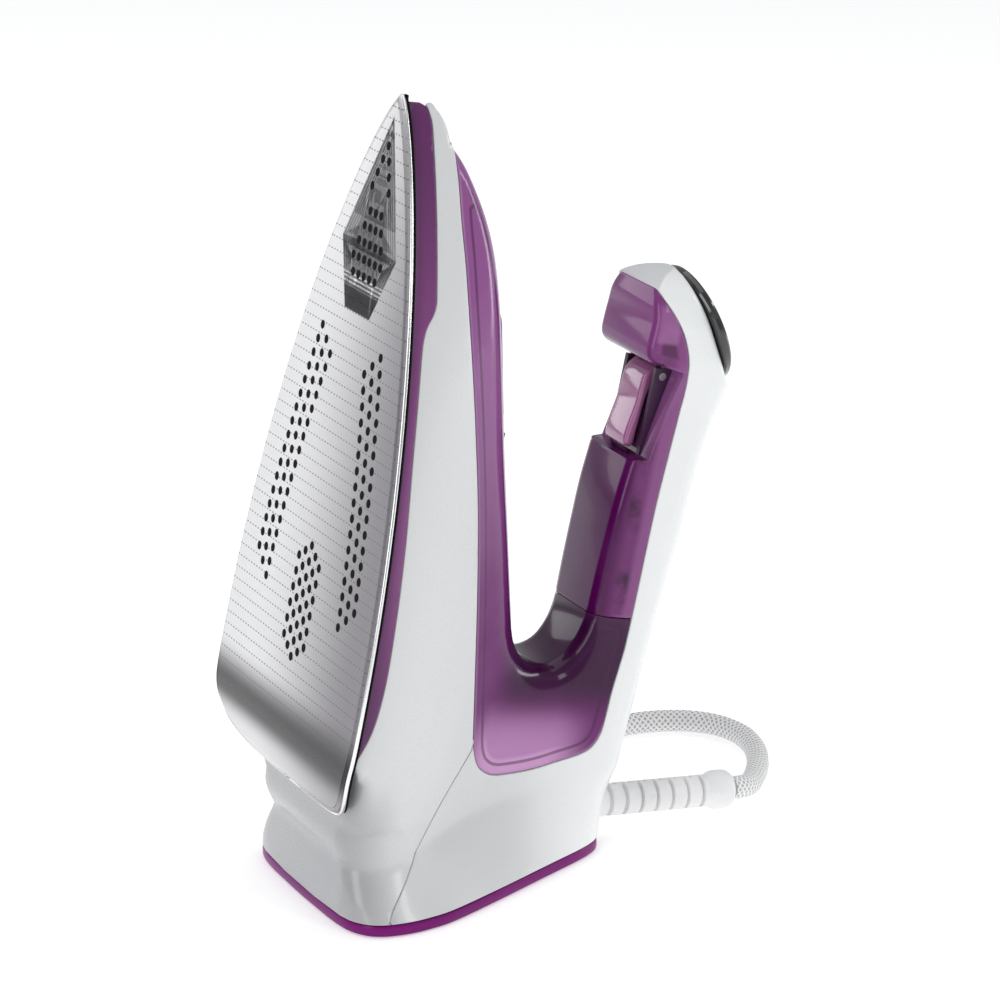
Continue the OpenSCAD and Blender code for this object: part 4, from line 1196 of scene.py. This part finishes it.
@dataclass
class Tank:
    """Clear tank, clear underside of handle and head, and the filler flap."""

    wardrobe: Wardrobe
    flap_half: float = 12.6

    def tank(self) -> bpy.types.Object:
        """The clear tank with its crown and the end of the hand opening."""
        runs = [
            Run(dense(RIDGE, 2.0), 5.0, 12.0),
            Run(dense(OPENING, 1.6), 12.0, 7.0),
            Run(straight((-45.5, 109.7), (-45.5, 125.5), 2.0), 0.3),
            Run(dense(list(reversed(TANK_BACK + [(-45.5, 125.55)])), 2.0), 0.7),
            Run(dense(list(reversed(TANK_SEAM)), 2.0), 0.7),
            Run(straight((119.9, 20.1), (118.6, 21.6), 1.0), 1.0),
        ]
        obj = Form(runs, Width.back, 3.0).mesh("clear_tank_shell")
        shade(obj, Edge.PLAIN)
        return self.wardrobe.dress(obj, TANK, Body.IRON, "purple_clear", "water_tank")

    def underside(self) -> bpy.types.Object:
        """The clear underside of handle and head, open for the trigger."""
        low: list[Pair] = [(-45.2, 109.7), (-30, 109.8), (-15, 110.2), (-1, 110.8), (13.8, 112.3)]
        front: list[Pair] = [(50.0, 116.5), (50.6, 112.8), (52.4, 110.3), (55.2, 109.2), (60, 109.2),
                             (66, 109.5),
                             (72, 109.2), (77.4, 109.7)]
        runs = [
            Run(dense(low, 2.0), 7.0, 5.0),
            Run(straight((13.8, 112.3), (15.2, 118.6), 1.5), 0.5),
            Run(straight((15.2, 118.6), (48.6, 125.0), 2.0), 0.5),
            Run(straight((48.6, 125.0), (50.0, 116.5), 1.5), 0.5, 3.0),
            Run(dense(front, 1.5), 4.0, 4.0),
            Run(dense(list(reversed(GRIP_SEAM[1:])), 2.0), 0.7),
            Run(straight((-45.2, 125.6), (-45.2, 109.7), 2.0), 0.3),
        ]
        obj = Form(runs, Width.grip, 2.8).mesh("clear_grip_underside")
        shade(obj, Edge.PLAIN)
        return self.wardrobe.dress(obj, GRIP, Body.IRON, "purple_clear", "handle_underside")

    def flap(self) -> bpy.types.Object:
        """The filler flap that lies on the tank's crown."""
        xs = [p[0] for p in reversed(RIDGE)]
        hs = [p[1] for p in reversed(RIDGE)]
        low = [(t, float(np.interp(t, xs, hs)) + 0.5) for t in (65, 58, 50, 42, 34, 26, 20.5)]
        high = [(t, h + 2.3) for t, h in reversed(low)]
        runs = [Run(dense(low, 2.0), 0.5), Run(dense(high, 2.0), 1.2)]

        def width(t: np.ndarray, h: np.ndarray) -> np.ndarray:
            """Rounded ends in plan."""
            u = np.clip(np.maximum((26 - t) / 6, (t - 58) / 7.2), 0, 1)
            return self.flap_half * np.sqrt(np.maximum(1 - u ** 2.5, 0.03))

        obj = Form(runs, width, 1.8).mesh("filler_flap_lid")
        return self.wardrobe.dress(obj, FLAP, Body.FLAP, "flap_clear", "filler_flap")


@dataclass
class Sole:
    """Soleplate, its polished rim, the tip inlay and the painted shade in the steam holes."""

    wardrobe: Wardrobe
    hole_r: float = 1.65

    def half(self, t: float) -> float:
        """Half width of the plate at t."""
        if t > SOLE_WIDEST:
            return float(Width.plan(np.array(t)))
        u = max(0.0, min(1.0, (SOLE_WIDEST - t) / SOLE_TAIL))
        return SOLE_HALF * (1 - u ** 3.5) ** (1 / 3.5)

    def holes(self) -> list[Pair]:
        """Places (t, y) of every steam hole."""
        found: list[Pair] = []
        for side in (-1, 1):
            for c in range(3):
                for k in range(17):
                    t = 44 - 5.5 * k
                    found.append((t - 4.2 * c, side * (self.half(t) - 17.5 - 0.02 * t - 5.1 * c)))
        for c in range(-2, 3):
            found += [(-31.7 - 2.97 * abs(c) - 5.94 * k, 4.4 * c) for k in range(8 - abs(c))]
        found.append((114.8, 0.0))
        for side in (-1, 1):
            found += [(114.8 - 5.2 * k, side * (0.3 + 2.2 * k)) for k in (1, 2, 3)]
        for row in range(5):
            n = 5 if row == 4 else row + 3
            found += [(90.4 - 5.75 * row, 4.6 * (k - (n - 1) / 2)) for k in range(n)]
        return found

    def plate(self) -> bpy.types.Object:
        """The satin plate: flat, curled up at the tail, with a stepped bevel round its edge."""
        angles = np.radians(np.concatenate([np.arange(1.0, 90, 1.6), [90.0]]))
        ts = np.concatenate([SOLE_TIP - SOLE_FRONT * (1 - np.cos(angles)),
                             SOLE_WIDEST - SOLE_TAIL * np.sin(np.radians(np.arange(2.0, 90.01, 1.1)))])
        half = np.array([self.half(float(t)) for t in ts])
        half[-1] = 6.0
        line = np.stack([ts, half], 1)
        ahead = np.gradient(line, axis=0)
        ahead /= np.linalg.norm(ahead, axis=1)[:, None]
        inward = np.stack([ahead[:, 1], -ahead[:, 0]], 1)
        inward *= np.where(inward[:, 1] > 0, -1, 1)[:, None]
        inward[:2] = (-1.0, -0.3)
        columns = 26
        bevel = [(2.6, 0.0), (2.1, 0.0), (1.85, 0.35), (1.45, 0.35), (1.25, 0.05), (0.45, 0.3), (0.0, 0.9),
                 (0.0, 2.2)]
        rows: list[list[Triple]] = []
        for k in range(len(ts)):
            out: list[Triple] = []
            for inset, h in bevel:
                q = line[k] + inward[k] * inset
                out.append((float(q[0]), -max(float(q[1]), 0.02), h))
            out.reverse()
            edge_t, edge_y = out[-1][0], out[-1][1]
            flat = [(edge_t, edge_y * (1 - 2 * c / columns), 0.0) for c in range(1, columns)]
            over = [(t, -y, h) for t, y, h in reversed(out)]
            back = [(t, y * (1 - 2 * c / 6), 2.2) for c in range(1, 6) for t, y, _ in [over[-1]]]
            rows.append(out + flat + over + back)
        n = len(rows[0])
        points = []
        for row in rows:
            for t, y, h in row:
                past = max(0.0, min(CURL_RADIUS - 1.0, CURL_FROM - t))
                lift = CURL_RADIUS - math.sqrt(CURL_RADIUS ** 2 - past ** 2)
                turn = past / CURL_RADIUS
                points.append(STAND.point(t + h * turn, y, h * math.sqrt(1 - turn * turn) + lift))
        faces = [[i * n + k, i * n + (k + 1) % n, (i + 1) * n + (k + 1) % n, (i + 1) * n + k]
                 for i in range(len(rows) - 1) for k in range(n)]
        faces += [list(range(n)), [(len(rows) - 1) * n + k for k in range(n)]]
        obj = make_object("satin_soleplate", points, faces, Edge.CRISP)
        return self.wardrobe.dress(obj, PLATE, Body.IRON, "steel", "soleplate")

    def inlay(self, frame: dict) -> bpy.types.Object:
        """The darker guide plate in the tip, from its node."""
        obj = copy_of(frame, "tip_inlay", "tip_guide_plate", Edge.CRISP)
        return self.wardrobe.dress(obj, INLAY, Body.IRON, "dark_plate", "tip_inlay")

    def painted_hole_shade(self) -> bpy.types.Object:
        """Painted shade in every steam hole: a near-black wall and floor, one small cup repeated."""
        nodes = Nodes("hole_cups")
        nodes.size("Hole radius", self.hole_r * MM)
        nodes.size("Depth", 1.5 * MM)
        cup = nodes.add("GeometryNodeMeshCylinder", {"fill_type": "NGON"}, {"Vertices": 16})
        nodes.tree.links.new(nodes.start.outputs["Hole radius"], cup.inputs["Radius"])
        nodes.tree.links.new(nodes.start.outputs["Depth"], cup.inputs["Depth"])
        turn = nodes.add("ShaderNodeCombineXYZ", None, {0: 0.0, 1: math.pi / 2 + STAND.lean, 2: 0.0})
        put = nodes.add("GeometryNodeInstanceOnPoints", None,
                        {"Points": nodes.start.outputs[0], "Instance": cup.outputs[0],
                         "Rotation": turn.outputs[0]})
        base = loose_points("hole_places", [(t, y, 0.72) for t, y in self.holes()])
        obj = nodes.bake(base, put.outputs[0], self.wardrobe.material(PAINTED_SHADE_BLACK), "steam_hole_painted_shade")
        return self.wardrobe.dress(obj, PAINTED_SHADE_BLACK, Body.IRON, "steel")

    def sweep(self, name: str, finish: Finish, slot: str, inset: float, height: float, bead: float,
              *nodes_hidden: str) -> bpy.types.Object:
        """A bead swept round the plate's edge.

        Args:
            name: the piece's name.
            finish: what it is finished in.
            slot: the record's material slot.
            inset: how far inside the edge it runs.
            height: how far above the plate's face.
            bead: its radius in millimetres.
            nodes_hidden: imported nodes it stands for.

        Returns:
            The new object.
        """
        places: list[Triple] = []
        ts = [SOLE_TIP - SOLE_FRONT * (1 - math.cos(math.radians(a))) for a in np.arange(0, 90.1, 2.5)]
        ts += [SOLE_WIDEST - SOLE_TAIL * math.sin(math.radians(a)) for a in np.arange(5, 90.1, 3.4)]
        for side in (-1, 1):
            row = ts if side < 0 else list(reversed(ts))
            for t in row:
                past = max(0.0, CURL_FROM - t)
                h = CURL_RADIUS - math.sqrt(max(CURL_RADIUS ** 2 - past ** 2, 0))
                places.append((t + (inset if past > 18 else 0.0), side * max(self.half(t) - inset, 0.01),
                               h + height))
        mesh = bpy.data.meshes.new("rim_line")
        n = len(places)
        mesh.from_pydata([STAND.point(*p) for p in places], [(i, (i + 1) % n) for i in range(n)], [])
        base = bpy.data.objects.new("rim_line", mesh)
        bpy.context.scene.collection.objects.link(base)
        nodes = Nodes(name)
        nodes.size("Bead radius", bead * MM)
        weld = nodes.add("GeometryNodeMergeByDistance", None,
                         {"Geometry": nodes.start.outputs[0], "Distance": 1e-5})
        line = nodes.add("GeometryNodeMeshToCurve", None, {"Mesh": weld.outputs[0]})
        ring = nodes.add("GeometryNodeCurvePrimitiveCircle", None, {"Resolution": 10})
        nodes.tree.links.new(nodes.start.outputs["Bead radius"], ring.inputs["Radius"])
        sweep = nodes.add("GeometryNodeCurveToMesh", None,
                          {"Curve": line.outputs[0], "Profile Curve": ring.outputs[0]})
        obj = nodes.bake(base, sweep.outputs[0], self.wardrobe.material(finish), name, Edge.SOFT)
        return self.wardrobe.dress(obj, finish, Body.IRON, slot, *nodes_hidden)


@dataclass
class Controls:
    """Trigger and dial."""

    wardrobe: Wardrobe
    dial_at: Pair = (63.0, 135.0)
    tilt: float = math.radians(31)
    dial_r: float = 23.0

    def trigger(self) -> bpy.types.Object:
        """The glossy trigger under the handle."""
        outline: list[Pair] = [(17, 114), (20, 113.2), (26, 113.9), (33, 115.2), (40, 115.6), (44.5, 116.4),
                               (48.0, 119.5), (48.0, 122.5), (45.5, 124.6), (42, 123.5), (38, 119.4),
                               (24, 117.9),
                               (17.5, 117.2), (17, 114)]

        def width(t: np.ndarray, h: np.ndarray) -> np.ndarray:
            """Even width."""
            return np.full_like(t, 8.0)

        obj = Form([Run(dense(outline, 1.2), 1.4)], width, 1.6).mesh("trigger_lever")
        return self.wardrobe.dress(obj, PINK, Body.TRIGGER, "pink_gloss", "trigger")

    def dial(self) -> bpy.types.Object:
        """The black disc on the head, with its shaft."""
        axis_t, axis_h = math.sin(self.tilt), math.cos(self.tilt)
        foot = STAND.point(self.dial_at[0], 0, self.dial_at[1])
        axis = STAND.point(self.dial_at[0] + axis_t, 0, self.dial_at[1] + axis_h) - foot
        r = self.dial_r
        profile: list[Pair] = [(-12, 0), (-12, 4), (0.4, 4), (0.4, r - 1.6), (0.8, r - 0.5), (1.5, r),
                               (3.0, r),
                               (3.7, r - 0.35), (4.2, r - 1.2), (4.4, r - 2.4), (4.1, r - 4.5), (3.7, 10),
                               (3.6, 7.6), (3.6, 0)]
        obj = lathe("black_dial", profile, foot, axis, 128)
        return self.wardrobe.dress(obj, DISC, Body.DIAL, "black_gloss", "dial")

    def lens(self, frame: dict) -> bpy.types.Object:
        """The small light in the dial's middle, from its node."""
        obj = copy_of(frame, "indicator_lens", "dial_light", Edge.CRISP)
        return self.wardrobe.dress(obj, SLEEVE, Body.DIAL, "lens", "indicator_lens")


@dataclass
class CordSet:
    """Strain relief, braided cord with its coil, and plug."""

    wardrobe: Wardrobe
    bush_x: float = 59.5
    bush_z: float = 16.0
    bush_len: float = 60.0
    droop: float = math.radians(4.9)
    cord_r: float = 4.4
    coil: Pair = (42.0, 122.0)
    leaving: float = math.radians(135)
    reach: float = 22.0

    def exit(self) -> Triple:
        """Where the cord leaves the strain relief, in millimetres."""
        return (self.bush_x + self.bush_len * math.cos(self.droop), 0.0,
                self.bush_z - self.bush_len * math.sin(self.droop))

    def route(self) -> list[Vector]:
        """The cord's whole centre line, in metres: free run, coil and lead to the plug."""
        free: list[Triple] = [self.exit(), (116 + 6.5, 1.2, 10.2), (128, 4.5, 8.6), (134, 10.5, 6.4),
                              (140, 18, 5.1),
                              (147, 27.5, 4.8), (153, 38, 4.8), (157.5, 50, 4.8), (159, 63, 4.8),
                              (156, 75.5, 4.8),
                              (148, 85, 4.8), (137, 90.5, 4.8), (124, 92.5, 4.8), (111, 91, 4.8),
                              (98, 86.5, 4.8),
                              (85, 80, 4.8), (72, 73, 4.8), (60, 67, 4.8), (50, 63.8, 4.8)]
        wound: list[Triple] = []
        start = math.radians(-90)
        z0, z1 = 4.8, 13.7
        down = 2 * math.pi

        def spot(angle: float, r: float, z: float) -> Triple:
            """A place on the coil."""
            return (self.coil[0] + r * math.cos(start - angle), self.coil[1] + r * math.sin(start - angle), z)

        step = math.radians(12)
        a = 0.0
        while a < 2 * down:
            wound.append(spot(a, 59 - 18 * a / (2 * down), z0))
            a += step
        rise = math.radians(90)
        while a < 2 * down + rise:
            wound.append(spot(a, 41, z0 + (z1 - z0) * (a - 2 * down) / rise))
            a += step
        end = 2 * down + rise + 2 * down + math.radians(45)
        while a < end - 1e-6:
            wound.append(spot(a, 41 + 18.8 * (a - 2 * down - rise) / (end - 2 * down - rise), z1))
            a += step
        wound.append(spot(end, 59.8, z1))
        ahead = (math.sin(self.leaving), -math.cos(self.leaving))
        base = wound[-1]
        for k in (0.35, 0.7, 1.0):
            wound.append((base[0] + ahead[0] * self.reach * k, base[1] + ahead[1] * self.reach * k,
                          z1 + (18.5 - z1) * k * k * (3 - 2 * k)))
        return self.even([Vector(p) * MM for p in free + wound])

    def even(self, points: list[Vector], step: float = 0.003) -> list[Vector]:
        """Runs a smooth curve through the points, with about the same distance between results."""
        out: list[Vector] = []
        last = len(points) - 1
        for i in range(last):
            a, b, c, d = points[max(i - 1, 0)], points[i], points[i + 1], points[min(i + 2, last)]
            n = max(1, round((c - b).length / step))
            for k in range(n):
                f = k / n
                out.append(0.5 * (2 * b + (c - a) * f + (2 * a - 5 * b + 4 * c - d) * f * f
                                  + (3 * b - a - 3 * c + d) * f ** 3))
        out.append(points[last])
        return out

    def bushing(self) -> bpy.types.Object:
        """The ribbed strain relief: half slots turn about on either side, then a bulb."""
        root = 17.0
        r = 6.2
        profile: list[Pair] = [(-root, 0), (-root, r + 2.4), (-root + 3, r + 2.4), (-root + 3, r)]
        z = 2.0
        while z < 48.6:
            profile.append((z, r))
            z += 0.33
        bulb = self.bush_len - 10
        profile += [(bulb - 0.8, r - 0.2), (bulb, r + 0.2), (bulb + 1.2, 7.1), (bulb + 3, 7.5),
                    (bulb + 6, 7.5),
                    (bulb + 8, 7.1), (bulb + 9.3, 6.2), (bulb + 9.9, 5.0), (bulb + 10, 4.3), (bulb + 10, 0)]

        def radius(along: float, angle: float) -> float:
            """Less inside a half slot."""
            if along < 4 or along > 48:
                return 1.0
            k = int((along - 4.4) // 3.3)
            inside = (along - 4.4) - 3.3 * k
            top = math.sin(angle) if k % 2 else -math.sin(angle)
            deep = 1.0 if 0.9 < inside < 2.3 else 0.0
            return 1 - 0.3 * deep * max(0.0, min(1.0, (top + 0.05) * 6))

        axis = Vector((math.cos(self.droop), 0, -math.sin(self.droop)))
        obj = lathe("strain_relief", profile, Vector((self.bush_x, 0, self.bush_z)) * MM, axis, 72,
                    Edge.PLAIN, radius)
        return self.wardrobe.dress(obj, SLEEVE, Body.IRON, "white_soft", "cord_bushing")

    def plug(self, frame: dict) -> bpy.types.Object:
        """The plug's body, from its node."""
        obj = copy_of(frame, "plug_body", "mains_plug", Edge.PLAIN)
        return self.wardrobe.dress(obj, SLEEVE, Body.IRON, "white_soft", "plug_body")

    def cord(self, frame: dict) -> bpy.types.Object:
        """The braided cord on its whole route, with the strain relief and plug."""
        path = self.route()
        obj = tube("braided_cord", path, self.cord_r * MM, 12)
        self.wardrobe.dress(obj, BRAID, Body.IRON, "braid", "cord", "cord_coil")
        relief = self.bushing()
        plug = self.plug(frame)
        length = sum((b - a).length for a, b in zip(path, path[1:]))
        LOG.info("cord: %.3f m", length)
        return obj


@dataclass
class Studio:
    """Camera, floor and soft lights."""

    wardrobe: Wardrobe
    spot: Triple = (-0.6326, -1.3429, 0.6159)
    azimuth: float = -25.97
    elevation: float = 17.66
    lens: float = 154.8

    def camera(self) -> None:
        """Sets the scene's camera at the object's usual viewing angle."""
        data = bpy.data.cameras.new("studio_camera")
        data.lens = self.lens
        data.sensor_width = 36.0
        data.clip_start, data.clip_end = 0.05, 50.0
        cam = bpy.data.objects.new("studio_camera", data)
        a, e = math.radians(self.azimuth), math.radians(self.elevation)
        back = Vector((math.sin(a) * math.cos(e), -math.cos(a) * math.cos(e), math.sin(e)))
        cam.rotation_mode = "QUATERNION"
        cam.location = self.spot
        cam.rotation_quaternion = (-back).to_track_quat("-Z", "Y")
        bpy.context.scene.collection.objects.link(cam)
        bpy.context.scene.camera = cam

    def floor(self) -> None:
        """A plain pale floor."""
        s = 9.0
        floor = make_object("pale_floor", [(-s, -s, -0.0004), (s, -s, -0.0004), (s, s, -0.0004),
                                           (-s, s, -0.0004)],
                            [[0, 1, 2, 3]])
        p = Paint("pale_floor")
        floor.data.materials.append(p.finish(Base_Color=(0.96, 0.96, 0.96), Roughness=0.6,
                                             Specular_IOR_Level=0.2,
                                             Emission_Color=(1.0, 1.0, 1.0), Emission_Strength=0.38))

    def panel(self, name: str, at: Triple, aim: Triple, size: Pair, power: float,
              tint: Triple = (1, 1, 1)) -> None:
        """Adds one soft light panel.

        Args:
            name: the light's name.
            at: where it stands, in metres.
            aim: what it points at.
            size: width and height.
            power: in watts.
            tint: its colour.
        """
        data = bpy.data.lights.new(name, "AREA")
        data.shape = "RECTANGLE"
        data.size, data.size_y = size
        data.energy = power
        data.color = tint
        light = bpy.data.objects.new(name, data)
        light.location = at
        light.rotation_mode = "QUATERNION"
        light.rotation_quaternion = (Vector(aim) - Vector(at)).to_track_quat("-Z", "Y")
        bpy.context.scene.collection.objects.link(light)

    def lights(self) -> None:
        """Soft surround, a large panel on the left and narrower ones on the right and above."""
        world = bpy.data.worlds.new("soft_surround")
        world.use_nodes = True
        ground = world.node_tree.nodes["Background"]
        ground.inputs[0].default_value = (0.93, 0.94, 0.96, 1.0)
        ground.inputs[1].default_value = 0.46
        bpy.context.scene.world = world
        self.panel("left_panel", (-1.5, -0.7, 0.75), (0, 0, 0.15), (0.7, 1.2), 7.5)
        self.panel("front_panel", (0.9, -1.8, 1.3), (0, 0, 0.15), (0.5, 0.8), 5.0)
        self.panel("right_strip", (1.5, -0.2, 0.5), (0, 0, 0.14), (0.22, 1.2), 5.0)
        self.panel("plate_panel", (-1.15, 1.75, 0.62), (0, 0, 0.18), (0.9, 0.8), 4.5)
        self.panel("top_panel", (0.0, 0.3, 2.2), (0, 0, 0.0), (2.6, 2.2), 14.0)
        bpy.context.scene.view_settings.view_transform = "Standard"


def dress_works(frame: dict, wardrobe: Wardrobe) -> None:
    """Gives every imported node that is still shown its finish."""
    for node, finish in WORKS.items():
        data = frame["nodes"][node].data
        data.materials.clear()
        data.materials.append(wardrobe.material(finish))
        LOG.info("%s: %s", node, finish.name)


def main() -> None:
    """Builds the whole scene, in order."""
    logging.basicConfig(level=logging.INFO, format="%(name)s %(message)s")
    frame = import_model()
    wardrobe = Wardrobe()
    studio = Studio(wardrobe)
    studio.camera()
    studio.floor()
    studio.lights()
    CordSet(wardrobe).cord(frame)
    casings = Casings(wardrobe)
    casings.body()
    casings.back()
    casings.skirt()
    casings.trim()
    casings.shield(frame)
    tank = Tank(wardrobe)
    tank.tank()
    tank.underside()
    tank.flap()
    sole = Sole(wardrobe)
    sole.plate()
    sole.inlay(frame)
    sole.painted_hole_shade()
    sole.sweep("plate_rim_bead", RIM, "steel", 0.1, 1.55, 0.75)
    # A near-black painted shadow swept in the gap between plate and skirt, in place of the sole_gasket node.
    sole.sweep("plate_gap_shadow", PAINTED_SHADE_BLACK, "gasket", 1.5, 3.0, 0.95, "sole_gasket")
    controls = Controls(wardrobe)
    controls.trigger()
    controls.dial()
    controls.lens(frame)
    dress_works(frame, wardrobe)


if __name__ == "__main__":
    main()
